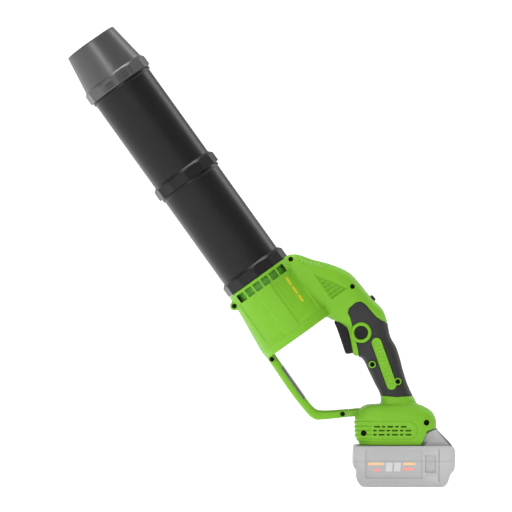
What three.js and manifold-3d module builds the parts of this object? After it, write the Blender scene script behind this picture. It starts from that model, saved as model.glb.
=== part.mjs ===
// Cordless leaf blower standing on its battery pack.
// Millimetres, +Z up. The origin is the centre of the battery's flat bottom. The duct leans towards -X,
// the grip stands on +X, and the two halves of every casing meet at Y = 0.
import * as THREE from "three";
import { mergeVertices } from "three/addons/utils/BufferGeometryUtils.js";
import Module from "manifold-3d";

const wasm = await Module();
wasm.setup();

// ---------------------------------------------------------------- driving dimensions
const GAP = 0.3; // between pieces that touch
const WALL = 2.6; // casing wall
const RUBBER = 1.8; // overmould thickness

const DUCT_TILT = THREE.MathUtils.degToRad(35.62); // duct axis from vertical, towards -X
const DUCT_ORIGIN = new THREE.Vector3(-169.6, 0, 245.6); // centre of the joint between tube and barrel
const TUBE_R = 38; // the part of a tube that shows
const SPIGOT_R = 36.9; // the end that goes into the next socket
const TUBE_WALL = 2;
const TUBE_PITCH = 138.6; // from one joint to the next
const SOCKET_R = 37.3;
const SOCKET_DEPTH = 14;
const SPIGOT_LENGTH = 13;
const COLLAR_R = 42; // corners of the 12-sided collar
const COLLAR_LENGTH = 11.5;
const COLLAR_CHAMFER = 4;
const BEAD_R = 39.6;
const BEAD_LENGTH = 3.6;
const JOINT_GAP = 0.5;
const NOZZLE_LENGTH = 61.4;
const NOZZLE_BASE_R = 39;
const NOZZLE_TIP_R = 32.4;

const BARREL_LENGTH = 84.2;
const BARREL_FRONT_R = 41.6;
const BARREL_REAR_R = 48.4;
const BARREL_FLARE_S = -74; // where the barrel is widest
const DUCT_BORE_R = 33;
const DUCT_WALL = 1.8;
const WINDOW_COUNT = 6;
const WINDOW_PITCH = 11.3;
const WINDOW_WIDTH = 9.2;
const WINDOW_FRONT = -3.4;
const WINDOW_LENGTH = 9.7;

const HUB_R = 15.5; // impeller and motor mount
const MOTOR_R = 13.2;
const SHAFT_R = 1.6;
const FAN_TIP_R = 31.5;
const FAN_BLADES = 9;
const BLADE_PITCH = THREE.MathUtils.degToRad(42);
const BLADE_THICK = 1.6;
const VANES = 7;
const VANE_PITCH = THREE.MathUtils.degToRad(-8);

const TRIGGER_PIVOT = [-70, 199];
const TRIGGER_HALF = 7.6; // half the trigger's width
const SLOT_HALF = 8.2;
const PIN_R = 1.5;
const LOCK_AT = [-49, 180.3];
const LOCK_R = 7.8;
const RING_R = 12.1;
const BOOST_AT = [-36.6, 219.2];
const BOOST_NORMAL = [0.753, 0.658];
const BOOST_R = 4;

const SCREW_HEAD_R = 2.6;
const SCREW_SHANK_R = 1.4;
const BOSS_R = 4.2;

const ROOM_FLOOR = 70.8; // the control board's room starts here
const BATTERY_HALF_Y = 37.5;
const BATTERY_TOP = 48.1;
const CELL_R = 9.1;
const CELL_LENGTH = 65;
const PACK_WALL = 2.2;
const TERMINAL_HALF = 12; // the two contacts lie this far from the middle

// ---------------------------------------------------------------- materials
function finish(color, roughness, metalness = 0) {
  return new THREE.MeshStandardMaterial({ color, roughness, metalness });
}
const looks = {
  green: finish(0x8cc546, 0.45),
  tube: finish(0x2c2c2e, 0.4),
  nozzle: finish(0x4a4a4c, 0.45),
  rubber: finish(0x363638, 0.75),
  black: finish(0x1c1c1e, 0.5),
  label: finish(0x55565a, 0.5),
  pack: finish(0xb0b0b2, 0.5),
  packDark: finish(0x8e8e92, 0.5),
  steel: finish(0xb4b6ba, 0.3, 1),
  screw: finish(0x1a1a1c, 0.4, 1),
  copper: finish(0xb87040, 0.35, 1),
  board: finish(0x1f5a38, 0.6),
  alloy: finish(0xc0c2c6, 0.35, 1),
  cell: finish(0x3a6ea8, 0.4),
  lead: finish(0x8a1c1c, 0.5),
};

// ---------------------------------------------------------------- frames
const Z_UP = new THREE.Matrix4().makeRotationX(Math.PI / 2); // turns a +Y axis to +Z, and a +Z axis to -Y
const DUCT = new THREE.Matrix4()
  .makeTranslation(DUCT_ORIGIN.x, DUCT_ORIGIN.y, DUCT_ORIGIN.z)
  .multiply(new THREE.Matrix4().makeRotationY(-DUCT_TILT));

function shift(x, y, z) {
  return new THREE.Matrix4().makeTranslation(x, y, z);
}

// Duct coordinates: a across the duct towards the grip, s along it towards the nozzle.
function ductPoint(a, s) {
  const p = new THREE.Vector3(a, 0, s).applyMatrix4(DUCT);
  return [p.x, p.z];
}

// ---------------------------------------------------------------- solids
function solid(geometry, matrix) {
  const copy = geometry.clone();
  if (matrix) copy.applyMatrix4(matrix);
  copy.deleteAttribute("normal");
  copy.deleteAttribute("uv");
  const merged = mergeVertices(copy, 1e-4);
  const mesh = new wasm.Mesh({
    numProp: 3,
    vertProperties: new Float32Array(merged.attributes.position.array),
    triVerts: new Uint32Array(merged.index.array),
  });
  return new wasm.Manifold(mesh);
}

function geometryOf(body) {
  const mesh = body.getMesh();
  const geometry = new THREE.BufferGeometry();
  geometry.setAttribute("position", new THREE.BufferAttribute(mesh.vertProperties, 3));
  geometry.setIndex(new THREE.BufferAttribute(mesh.triVerts, 1));
  geometry.computeVertexNormals();
  return geometry;
}

function join(...bodies) {
  return bodies.reduce((all, body) => all.add(body));
}

function cut(body, ...tools) {
  return tools.reduce((left, tool) => left.subtract(tool), body);
}

// A side outline in X and Z, pulled along Y from y0 to y1.
function sidePrism(points, y0, y1, matrix) {
  const corners = (list) => list.map(([x, z]) => new THREE.Vector2(x, z));
  const shape = points instanceof THREE.Shape ? points : new THREE.Shape(corners(points));
  const depth = y1 - y0;
  const pulled = new THREE.ExtrudeGeometry(shape, { depth, bevelEnabled: false, curveSegments: 4 });
  pulled.applyMatrix4(Z_UP);
  pulled.translate(0, y1, 0);
  return solid(pulled, matrix);
}

function block(x0, x1, y0, y1, z0, z1, matrix) {
  const box = new THREE.BoxGeometry(x1 - x0, y1 - y0, z1 - z0);
  box.translate((x0 + x1) / 2, (y0 + y1) / 2, (z0 + z1) / 2);
  return solid(box, matrix);
}

// A round solid about the duct axis, from [radius, s] points that start and end on the axis or form a loop.
function turned(profile, segments = 28, matrix = DUCT) {
  const lathe = new THREE.LatheGeometry(profile.map(([r, s]) => new THREE.Vector2(r, s)), segments);
  lathe.applyMatrix4(Z_UP);
  const body = solid(lathe, matrix);
  return body.volume() > 0 ? body : solid(lathe.scale(1, -1, 1), matrix);
}

function ring(rIn, rOut, s0, s1, segments = 24, matrix = DUCT) {
  return turned([[rIn, s0], [rOut, s0], [rOut, s1], [rIn, s1], [rIn, s0]], segments, matrix);
}

function disc(r, s0, s1, segments = 16, matrix = DUCT) {
  return turned([[0, s0], [r, s0], [r, s1], [0, s1]], segments, matrix);
}

// A cylinder along Y at a place in the side view.
function crossRod([x, z], r, y0, y1, segments = 10) {
  const rod = new THREE.CylinderGeometry(r, r, y1 - y0, segments);
  rod.translate(x, (y0 + y1) / 2, z);
  return solid(rod);
}

function leftHalf(body) {
  return body.trimByPlane([0, -1, 0], GAP / 2);
}

function rightHalf(body) {
  return body.trimByPlane([0, 1, 0], GAP / 2);
}

// A loft through oval rings with flat ends. Each ring is { f, b, w, p }: its front and back points in the
// side view, its half width, and how square it is (2 is an ellipse).
function loft(rings, around = 24) {
  const tube = new THREE.CylinderGeometry(1, 1, 1, around, rings.length - 1);
  const place = tube.attributes.position;
  for (let i = 0; i < place.count; i += 1) {
    const row = Math.round((0.5 - place.getY(i)) * (rings.length - 1));
    const { f, b, w, p } = rings[row];
    const reach = Math.hypot(place.getX(i), place.getZ(i));
    const angle = Math.atan2(place.getZ(i), place.getX(i));
    const along = reach * Math.sign(Math.cos(angle)) * Math.abs(Math.cos(angle)) ** (2 / p);
    const out = reach * Math.sign(Math.sin(angle)) * Math.abs(Math.sin(angle)) ** (2 / p);
    const x = (f[0] + b[0]) / 2 + ((b[0] - f[0]) / 2) * along;
    const z = (f[1] + b[1]) / 2 + ((b[1] - f[1]) / 2) * along;
    place.setXYZ(i, x, w * out, z);
  }
  const body = solid(tube);
  if (body.volume() > 0) return body;
  const turnedOver = tube.clone();
  turnedOver.setIndex([...tube.index.array].reverse());
  return solid(turnedOver);
}

// The same rings drawn in by a wall thickness, leaving out `skip` rings at each end.
function drawnIn(rings, wall, skip = [0, 0]) {
  return rings.slice(skip[0], rings.length - skip[1]).map(({ f, b, w, p, more = 0 }) => {
    const inset = wall + more;
    const span = Math.hypot(b[0] - f[0], b[1] - f[1]);
    const unit = [(b[0] - f[0]) / span, (b[1] - f[1]) / span];
    return {
      f: [f[0] + unit[0] * inset, f[1] + unit[1] * inset],
      b: [b[0] - unit[0] * inset, b[1] - unit[1] * inset],
      w: w - inset,
      p,
    };
  });
}

// ---------------------------------------------------------------- handle and base, as rings
function neckRing(f, b, w, p = 3) {
  return { f, b, w, p };
}
function gripRing(f, b, w, p = 2.5) {
  return { f, b, w, p, more: RUBBER + GAP };
}
const handleRings = [
  neckRing(ductPoint(24, -0.2), ductPoint(45.5, -0.2), 13),
  neckRing(ductPoint(24, -3.2), ductPoint(50, -3.2), 16),
  neckRing(ductPoint(24, -20), ductPoint(63.2, -20), 22),
  neckRing(ductPoint(25, -38), ductPoint(77.3, -37), 24.5),
  neckRing(ductPoint(28, -60), ductPoint(89.7, -58.4), 25),
  neckRing([-101, 207], [-50, 237.3], 24.5),
  neckRing([-84, 195.5], [-36.5, 220.6], 22.5),
  neckRing([-72, 190.5], [-22.6, 205.8], 20.6),
  gripRing([-64.5, 183.5], [-18.3, 194], 19.4),
  gripRing([-60.6, 172], [-14.7, 176.5], 18.4),
  gripRing([-57.2, 155], [-7.5, 163], 17.8),
  gripRing([-47.5, 149.6], [-3.6, 151.5], 17.4),
  gripRing([-39.5, 134.5], [0.3, 136.5], 17.3),
  gripRing([-32.5, 120], [5.2, 121], 17.6),
  gripRing([-26.4, 107.4], [11.2, 107.4], 18.8),
  neckRing([-25.5, 101.5], [14.6, 101.5], 20.5),
  neckRing([-27, 86], [20, 86], 23),
];

function baseRing(z, x0, x1, w, p) {
  return { f: [x0, z], b: [x1, z], w, p };
}
const baseRings = [
  baseRing(96.2, -32, 15, 20, 3),
  baseRing(95.4, -42, 20, 25, 3.4),
  baseRing(92.4, -48.7, 27, 29.5, 3.8),
  baseRing(87.5, -52.4, 34.4, 32.4, 4.2),
  baseRing(80.5, -56, 38.2, 33.8, 4.6),
  baseRing(75.5, -56.9, 39.5, 34, 5),
  baseRing(58.5, -56.4, 39.4, 33.8, 5),
  baseRing(53, -53.8, 39.4, 33, 5),
  baseRing(48.6, -50.2, 39.4, 31.5, 5),
];

// ---------------------------------------------------------------- guard bar
const guardRings = [
  { f: ductPoint(-47.4, -BARREL_LENGTH - GAP), b: ductPoint(-37, -BARREL_LENGTH - GAP) },
  { f: ductPoint(-47.3, -158), b: ductPoint(-37.3, -151) },
  { f: [-106.6, 79.9], b: [-104.6, 92.4] },
  { f: [-100.4, 77.4], b: [-98.6, 89] },
  { f: [-92, 77.9], b: [-92, 88.6] },
  { f: [-63.9, 80.9], b: [-63.9, 90.4] },
].map((pair) => ({ ...pair, w: 9, p: 3.2 }));

// ---------------------------------------------------------------- screws
// Each has its place in the side view and the depth of its head's seat.
const screws = [
  { name: "barrel_top", at: [-131.6, 266.4], seat: 8 },
  { name: "barrel_bottom", at: [-197.8, 211.3], seat: 5 },
  { name: "neck", at: [-59.3, 234.4], seat: 14 },
  { name: "guard_top", at: [-153.6, 148.7], seat: 5, guard: true },
  { name: "guard_end", at: [-70.7, 84.5], seat: 5, guard: true },
  { name: "grip_front", at: [-36, 142.9], seat: 9 },
  { name: "grip_rear", at: [-6, 122.9], seat: 9 },
  { name: "base_front", at: [-46.3, 62.8], seat: 22, head: 3.1 },
  { name: "base_rear", at: [27.1, 75.1], seat: 22, head: 3.1 },
];

function screwHole({ at, seat, head = SCREW_HEAD_R }) {
  return join(crossRod(at, head + GAP, -60, -seat), crossRod(at, SCREW_SHANK_R + GAP, -seat - 1, 13, 6));
}

function screwBody({ at, seat, head = SCREW_HEAD_R }) {
  const socket = crossRod(at, 1.2, -seat - 4, -seat - 1.4, 6);
  const cap = crossRod(at, head, -seat - 2.6, -seat - GAP);
  return cut(join(cap, crossRod(at, SCREW_SHANK_R, -seat - 1, 11, 6)), socket);
}

// ---------------------------------------------------------------- housing shells
function barrelOuter() {
  return turned([
    [0, -BARREL_LENGTH],
    [BARREL_REAR_R - 1, -BARREL_LENGTH],
    [BARREL_REAR_R, BARREL_FLARE_S],
    [BARREL_FRONT_R + 1, -22],
    [BARREL_FRONT_R, 0],
    [0, 0],
  ], 32);
}

function barrelInner() {
  return turned([
    [0, -BARREL_LENGTH - 1],
    [44.6, -BARREL_LENGTH - 1],
    [BARREL_REAR_R - WALL, BARREL_FLARE_S],
    [BARREL_FRONT_R + 1 - WALL, -22],
    [BARREL_FRONT_R - WALL, -3.2],
    [SOCKET_R, -3.2],
    [SOCKET_R, 1],
    [0, 1],
  ], 32);
}

const grip = loft(handleRings, 20);
const gripUnderRubber = loft(drawnIn(handleRings, RUBBER + GAP), 20);
const handleHollow = loft(drawnIn(handleRings, WALL, [1, 0]), 16);
const base = loft(baseRings, 24);
const baseHollow = loft([...drawnIn(baseRings, WALL, [2, 3]), floorRing()], 20);
const sideVents = [-1, 1].map((side) => block(-37, 12, 28.6, 31.2, 58.4, 76).scale([1, side, 1]));

function floorRing() {
  const [ring] = drawnIn([baseRings[5]], WALL);
  return { ...ring, f: [ring.f[0], ROOM_FLOOR], b: [ring.b[0], ROOM_FLOOR] };
}

const rubberOutline = [
  [-51, 216.5], [-55.9, 215.1], [-63.2, 208.8], [-64.5, 203.4], [-61.8, 198.1], [-59.5, 190], [-57, 178.5],
  [-54.1, 167.5], [-51.7, 156.8], [-51.9, 153.4], [-60, 150], [-50, 106.9], [-26.4, 106.6], [-8, 105.1],
  [11.8, 106.1], [30, 106.6], [10, 191.7], [-18.8, 191.7], [-24.5, 194], [-31.8, 198.9], [-37.2, 205.2],
  [-42.4, 211.5], [-47, 215.5],
];

// Moves each corner of an outline that runs counter-clockwise outwards.
function widened(outline, by) {
  const count = outline.length;
  const centre = new THREE.Vector2();
  return outline.map((point, i) => {
    const before = outline[(i + count - 1) % count];
    const after = outline[(i + 1) % count];
    const along = centre.clone().set(after[0] - before[0], after[1] - before[1]).normalize();
    return [point[0] + along.y * by, point[1] - along.x * by];
  });
}

const badgeEnds = [[-30.9, 168.4], [-13.4, 119]];
const BADGE_R = 5.85;

function badge(r, y0, y1) {
  const [top, bottom] = badgeEnds;
  const angle = Math.atan2(top[1] - bottom[1], top[0] - bottom[0]);
  const shape = new THREE.Shape();
  shape.absarc(top[0], top[1], r, angle - Math.PI / 2, angle + Math.PI / 2);
  shape.absarc(bottom[0], bottom[1], r, angle + Math.PI / 2, angle + (3 * Math.PI) / 2);
  return sidePrism(shape, y0, y1);
}

// Green islands that stand through the rubber: ring, badge and screw rings.
function islands(extra, reach) {
  const [gripFront, gripRear] = screws.filter((screw) => screw.name.startsWith("grip"));
  return join(
    crossRod(LOCK_AT, RING_R + extra, -reach[0], reach[0], 18),
    badge(BADGE_R + extra, -reach[1], reach[1]),
    crossRod(gripFront.at, 4.3 + extra, -reach[2], reach[2]),
    crossRod(gripRear.at, 4.3 + extra, -reach[2], reach[2]),
  );
}

const triggerSlotOutline = [
  [-92, 148], [-60, 152.4], [-50, 152.4], [-46, 160], [-52, 188], [-59, 205.5], [-70, 206.8], [-79, 203.5],
  [-83, 194],
];

function windows() {
  const first = -((WINDOW_COUNT - 1) / 2) * WINDOW_PITCH;
  const cuts = [];
  for (let i = 0; i < WINDOW_COUNT; i += 1) {
    const a = first + i * WINDOW_PITCH;
    const tool = block(a - WINDOW_WIDTH / 2, a + WINDOW_WIDTH / 2, -60, 60,
      WINDOW_FRONT - WINDOW_LENGTH, WINDOW_FRONT, DUCT);
    cuts.push(tool);
  }
  return cuts;
}

const slotRows = [70.4, 65.9, 61.1];

function ventSlots() {
  return slotRows.flatMap((z) => [
    block(-34.9, 9.7, -45, -30, z - 0.75, z + 0.75),
    block(-34.9, 9.7, 30, 45, z - 0.75, z + 0.75),
  ]);
}

// The battery's rail head slides into this pocket from +X.
function railPocket() {
  const recess = block(-43, 60, -27, 27, 52.8, 65.2);
  const mouth = block(-43, 60, -23, 23, 47, 54);
  const heelOutline = [[20.9, 47], [20.9, 48.5], [28.2, 65.3], [39.4, 68.7], [60, 68.7], [60, 47]];
  const heel = sidePrism(heelOutline, -45, 45);
  return join(recess, mouth, heel);
}

function housing() {
  const bossAt = ductPoint(-42.9, -11.5);
  const outer = join(
    barrelOuter(),
    grip,
    base,
    crossRod(bossAt, 5, -9, 9, 12),
    guardStub(),
    crossRod(LOCK_AT, RING_R, -20.2, 20.2, 18),
  );
  const hollow = join(barrelInner(), handleHollow, baseHollow, ...sideVents);
  const housingScrews = screws.filter((screw) => !screw.guard);
  const posts = housingScrews.map((screw) => crossRod(screw.at, BOSS_R, -34, 34, 8));
  const pivotPosts = join(
    crossRod(TRIGGER_PIVOT, 3.8, -30, -SLOT_HALF - 0.4, 8),
    crossRod(TRIGGER_PIVOT, 3.8, SLOT_HALF + 0.4, 30, 8),
  );
  const lockSleeve = crossRod(LOCK_AT, LOCK_R + GAP + 1.8, -18, 18, 14);
  const inside = outer.intersect(join(...posts, pivotPosts, lockSleeve));
  const ductKeepOut = disc(BARREL_FRONT_R - 0.9, -BARREL_LENGTH - 1, 1);
  let shell = join(cut(outer, hollow), cut(inside, ductKeepOut));
  const rubberPocket = cut(
    sidePrism(widened(rubberOutline, GAP), -40, 40),
    gripUnderRubber,
    islands(0, [30, 30, 30]),
  );
  shell = cut(
    shell,
    rubberPocket,
    barrelInner(),
    ...windows(),
    ...ventSlots(),
    railPocket(),
    sidePrism(triggerSlotOutline, -SLOT_HALF, SLOT_HALF),
    crossRod(TRIGGER_PIVOT, PIN_R + GAP, -13, 13, 8),
    crossRod(LOCK_AT, LOCK_R + GAP, -40, 40, 14),
    boostRod(BOOST_R + GAP, -12, 10),
    ...screws.map(screwHole),
  );
  return shell;
}

// The base's own stub that the guard bar meets.
function guardStub() {
  return loft([
    { f: [-63.5, 80.9], b: [-63.5, 90.4], w: 9, p: 3.2 },
    { f: [-48, 82], b: [-48, 91.6], w: 9, p: 3.2 },
  ], 14);
}

function badgeLift() {
  return islands(0, [0.1, 18.3, 17.9]);
}

function rubber() {
  const skin = cut(grip, loft(drawnIn(handleRings, RUBBER), 28));
  return cut(skin.intersect(sidePrism(rubberOutline, -40, 40)), islands(GAP, [40, 40, 40]),
    sidePrism(triggerSlotOutline, -SLOT_HALF, SLOT_HALF));
}

// ---------------------------------------------------------------- tubes
function dodecagon(s0, length, cornerR) {
  const prism = new THREE.CylinderGeometry(cornerR, cornerR, length, 12);
  prism.applyMatrix4(Z_UP);
  prism.translate(0, 0, s0 + length / 2);
  return solid(prism, DUCT);
}

// A 12-sided collar whose shoulder is cut back by a cone to the round tube.
function collar(s0, topR) {
  const top = s0 + COLLAR_LENGTH + COLLAR_CHAMFER;
  const cone = turned([[0, s0 - 1], [COLLAR_R + 1, s0 - 1], [COLLAR_R + 1, s0 + COLLAR_LENGTH - 1],
    [topR, top], [0, top]]);
  return dodecagon(s0, COLLAR_LENGTH + COLLAR_CHAMFER, COLLAR_R).intersect(cone);
}

function tube(s0) {
  const stop = s0 + TUBE_PITCH - JOINT_GAP;
  const body = turned([
    [0, s0 + 1],
    [TUBE_R, s0 + 1],
    [TUBE_R, stop - BEAD_LENGTH - 0.8],
    [BEAD_R, stop - BEAD_LENGTH],
    [BEAD_R, stop],
    [SPIGOT_R, stop],
    [SPIGOT_R, s0 + TUBE_PITCH + SPIGOT_LENGTH],
    [0, s0 + TUBE_PITCH + SPIGOT_LENGTH],
  ]);
  const bore = turned([
    [0, s0 - 1],
    [SOCKET_R, s0 - 1],
    [SOCKET_R, s0 + SOCKET_DEPTH],
    [SPIGOT_R - TUBE_WALL, s0 + SOCKET_DEPTH],
    [SPIGOT_R - TUBE_WALL, s0 + TUBE_PITCH + SPIGOT_LENGTH + 1],
    [0, s0 + TUBE_PITCH + SPIGOT_LENGTH + 1],
  ]);
  return cut(join(body, collar(s0, TUBE_R)), bore);
}

function nozzle(s0) {
  const top = s0 + NOZZLE_LENGTH;
  const body = turned([
    [0, s0 + 1],
    [TUBE_R, s0 + 1],
    [NOZZLE_BASE_R, s0 + 16],
    [NOZZLE_TIP_R, top],
    [0, top],
  ]);
  const bore = turned([
    [0, s0 - 1],
    [SOCKET_R, s0 - 1],
    [SOCKET_R, s0 + SOCKET_DEPTH],
    [SPIGOT_R - TUBE_WALL, s0 + SOCKET_DEPTH],
    [NOZZLE_TIP_R - TUBE_WALL, top + 0.1],
    [0, top + 0.1],
  ]);
  return cut(join(body, collar(s0, NOZZLE_BASE_R)), bore);
}

// ---------------------------------------------------------------- air duct and motor
function airDuct() {
  const outR = DUCT_BORE_R + DUCT_WALL;
  return turned([
    [40, -80.5],
    [41.5, -80.5],
    [41.5, -78.5],
    [outR, -70],
    [outR, -5.5],
    [SPIGOT_R, -4.2],
    [SPIGOT_R, SPIGOT_LENGTH],
    [SPIGOT_R - TUBE_WALL, SPIGOT_LENGTH],
    [DUCT_BORE_R, -6],
    [DUCT_BORE_R, -68],
    [40, -80.5],
  ]);
}

function intakeGrille() {
  const s0 = -83.6;
  const s1 = -81;
  const rim = ring(41.4, 44, s0, s1, 24);
  const spokes = [];
  for (let i = 0; i < 4; i += 1) {
    const turn = DUCT.clone().multiply(new THREE.Matrix4().makeRotationZ((i * Math.PI) / 4));
    spokes.push(block(-42.5, 42.5, -0.9, 0.9, s0, s1, turn));
  }
  return join(disc(7, s0, s1, 12), rim, ...spokes);
}

// Flat blades set at a pitch, from a hub radius to a tip radius.
function blades(count, rIn, rOut, chord, pitch, sMid, thick) {
  const all = [];
  for (let i = 0; i < count; i += 1) {
    const place = DUCT.clone()
      .multiply(new THREE.Matrix4().makeRotationZ((2 * Math.PI * i) / count))
      .multiply(shift(0, 0, sMid))
      .multiply(new THREE.Matrix4().makeRotationX(pitch));
    all.push(block(rIn, rOut, -thick / 2, thick / 2, -chord / 2, chord / 2, place));
  }
  return join(...all);
}

function impeller() {
  const cup = [[0, -67], [9, -66], [HUB_R, -60], [HUB_R, -46], [13.5, -46], [13.5, -57], [0, -57]];
  const hub = turned(cup, 16);
  const fan = blades(FAN_BLADES, HUB_R - 1, FAN_TIP_R, 17, BLADE_PITCH, -54, BLADE_THICK);
  return cut(join(hub, cut(fan, disc(13.9, -70, -40))), disc(SHAFT_R + GAP, -80, -40, 8));
}

function motorMount() {
  const cup = cut(disc(HUB_R, -40, 3), disc(MOTOR_R + 2 * GAP, -41, 0), disc(5.6, -50, 10, 10));
  const fins = blades(VANES, HUB_R - 0.8, DUCT_BORE_R - 2 * GAP, 30, VANE_PITCH, -16, BLADE_THICK);
  return join(cup, fins);
}

function motorCan() {
  const can = disc(MOTOR_R, -38, -0.5);
  return cut(can, disc(5.5, -39, -33, 10), disc(5.5, -5, 1, 10), disc(2.2, -50, 10, 8));
}

function bearing(s0) {
  return ring(SHAFT_R + GAP, 5.1, s0, s0 + 4, 10);
}

// ---------------------------------------------------------------- hand controls
function trigger() {
  const outline = [
    [-80.8, 192.6], [-77.4, 185.5], [-72.7, 171.9], [-66.9, 154.6], [-57.5, 156.2], [-53, 158], [-56, 167],
    [-62, 172.5], [-62.8, 181], [-64.6, 190], [-64.6, 199.5], [-66.6, 203], [-70, 204.6], [-73.6, 203],
    [-75.6, 198.5],
  ];
  const lever = sidePrism(outline, -TRIGGER_HALF, TRIGGER_HALF);
  return cut(lever, crossRod(TRIGGER_PIVOT, PIN_R + GAP, -20, 20, 8));
}

// A rod along the boost button's normal: depths are measured from the neck's surface, inwards negative.
function boostRod(r, from, to) {
  const lean = Math.atan2(BOOST_NORMAL[0], BOOST_NORMAL[1]);
  const rod = new THREE.CylinderGeometry(r, r, to - from, 12);
  rod.applyMatrix4(Z_UP);
  rod.translate(0, 0, (from + to) / 2);
  rod.applyMatrix4(new THREE.Matrix4().makeRotationY(lean));
  rod.translate(BOOST_AT[0], 0, BOOST_AT[1]);
  return solid(rod);
}

function boostButton() {
  return join(boostRod(BOOST_R, -5, 3.4), boostRod(BOOST_R - 1, 3.2, 4.2), boostRod(2.2, -9.5, -4.5));
}

// A tube of round section along a list of points.
function lead(points, r, steps) {
  const curve = new THREE.CatmullRomCurve3(points.map(([x, y, z]) => new THREE.Vector3(x, y, z)));
  const section = new THREE.Shape();
  section.absarc(0, 0, r, 0, 2 * Math.PI);
  const run = new THREE.ExtrudeGeometry(section, {
    steps,
    curveSegments: 3,
    bevelEnabled: false,
    extrudePath: curve,
  });
  return solid(run);
}

// ---------------------------------------------------------------- guard
function guardBar() {
  const bar = loft(guardRings, 14);
  const [top, end] = screws.filter((screw) => screw.guard);
  return cut(bar, screwHole(top), screwHole(end));
}

function guardLabel() {
  const inner = -36.75;
  return block(inner, inner + 0.7, -6, 6, -150.5, -100, DUCT);
}

// ---------------------------------------------------------------- battery pack
const packOutline = [
  [-45.7, 0], [46.6, 0], [51.6, 3.4], [55.4, 15], [60.2, 19.8], [60.7, 30.2], [-58.9, 30.2], [-58.7, 22.7],
  [-54.9, 19.8], [-54.9, 8.2], [-50.5, 2.3],
];
const lidOutline = [
  [-58.9, 30.5], [60.7, 30.5], [60.7, 45.1], [57.7, BATTERY_TOP], [-58.2, BATTERY_TOP],
];
const cellRows = [13.2, 32.2];

// The release button lies in the sloping back of the rail head. Its local X runs down the slope and its
// local Z out of it.
const SLOPE_TOP = [42.8, 64.6];
const SLOPE_FOOT = [58, 48];
const SLOPE = shift(SLOPE_TOP[0], 0, SLOPE_TOP[1]).multiply(new THREE.Matrix4().makeRotationY(
  Math.atan2(SLOPE_TOP[1] - SLOPE_FOOT[1], SLOPE_FOOT[0] - SLOPE_TOP[0])));
const RELEASE = { x0: 5, x1: 17.5, half: 14, proud: 0.8, thick: 4, well: 8.4 };

function packCase() {
  const outer = sidePrism(packOutline, -BATTERY_HALF_Y, BATTERY_HALF_Y);
  const room = block(-53, 47.6, -BATTERY_HALF_Y + PACK_WALL, BATTERY_HALF_Y - PACK_WALL, 2.4, 31);
  const corner = block(-60, -51, -40, 40, -1, 5);
  return cut(outer, cut(room, corner));
}

function packLid() {
  const plate = sidePrism(lidOutline, -BATTERY_HALF_Y, BATTERY_HALF_Y);
  const room = block(-53, 47.6, -BATTERY_HALF_Y + PACK_WALL, BATTERY_HALF_Y - PACK_WALL, 29, 45.6);
  const head = block(-33.5, 18, -9.6, 9.6, 45, 60);
  const headSides = [-1, 1].map((side) => block(-15, 25, 8, 19.6, 45, 60).scale([1, side, 1]));
  const neck = block(-36, 42, -22, 22, 47, 54);
  const rails = block(-36, 30, -26, 26, 53.2, 62.4);
  const hump = sidePrism([[21.6, 47], [21.6, 48.4], [29, 64.6], [40, 68], SLOPE_TOP, SLOPE_FOOT, [58, 47]],
    -26, 26);
  const well = block(RELEASE.x0 - GAP, RELEASE.x1 + GAP, -RELEASE.half - GAP, RELEASE.half + GAP,
    -RELEASE.well, 2, SLOPE);
  const contacts = [-TERMINAL_HALF, TERMINAL_HALF];
  const contactSlots = contacts.map((y) => block(-37, -18, y - 1.4, y + 1.4, 54.5, 70));
  return cut(join(plate, neck, rails, hump), room, head, ...headSides, ...contactSlots, well);
}

function releaseButton() {
  const { x0, x1, half, proud, thick } = RELEASE;
  return block(x0, x1, -half, half, proud - thick, proud, SLOPE);
}

function cellRod(x, z) {
  const rod = new THREE.CylinderGeometry(CELL_R, CELL_R, CELL_LENGTH, 10);
  rod.translate(x, 0, z);
  return solid(rod);
}

// ---------------------------------------------------------------- smaller pieces
function badgeIslands() {
  const [gripFront, gripRear] = screws.filter((screw) => screw.name.startsWith("grip"));
  const raised = cut(badgeLift(), handleHollow);
  return cut(raised, screwHole(gripFront), screwHole(gripRear));
}

function boostSwitch() {
  const lean = Math.atan2(BOOST_NORMAL[0], BOOST_NORMAL[1]);
  const place = shift(BOOST_AT[0], 0, BOOST_AT[1]).multiply(new THREE.Matrix4().makeRotationY(lean));
  return block(-5, 5, -5, 5, -19, -12.6, place);
}

function heatSink() {
  const fins = [-12, -6, 0, 6, 12].map((y) => block(-34, -8, y - 1, y + 1, 76, 86));
  return join(block(-34, -8, -13, 13, 74.9, 77), ...fins);
}

function motorLeadRoute() {
  const [xEnd, zEnd] = ductPoint(38.5, -27);
  return [
    [4, 10, 75.6], [2, 10, 84], [-8, 9, 98], [-16, 9, 118], [-21, 9, 140], [-27, 9.6, 163],
    [-33.5, 9.6, 180], [-41, 9.6, 199], [-53, 10, 217], [-74, 13, 224], [-95, 12, 236], [xEnd, 0, zEnd],
  ];
}

// ---------------------------------------------------------------- the group
const blower = new THREE.Group();

function add(name, body, material) {
  const mesh = new THREE.Mesh(geometryOf(body), material.clone());
  mesh.name = name;
  blower.add(mesh);
}

const shell = join(housing(), badgeIslands());
add("housing_left", leftHalf(shell), looks.green);
add("housing_right", rightHalf(shell), looks.green);

const overmould = rubber();
add("grip_rubber_left", leftHalf(overmould), looks.rubber);
add("grip_rubber_right", rightHalf(overmould), looks.rubber);

add("lower_tube", tube(JOINT_GAP), looks.tube);
add("upper_tube", tube(JOINT_GAP + TUBE_PITCH), looks.tube);
add("nozzle", nozzle(JOINT_GAP + 2 * TUBE_PITCH), looks.nozzle);

const bar = guardBar();
add("guard_left", leftHalf(bar), looks.green);
add("guard_right", rightHalf(bar), looks.green);
add("guard_label", guardLabel(), looks.label);

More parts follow.
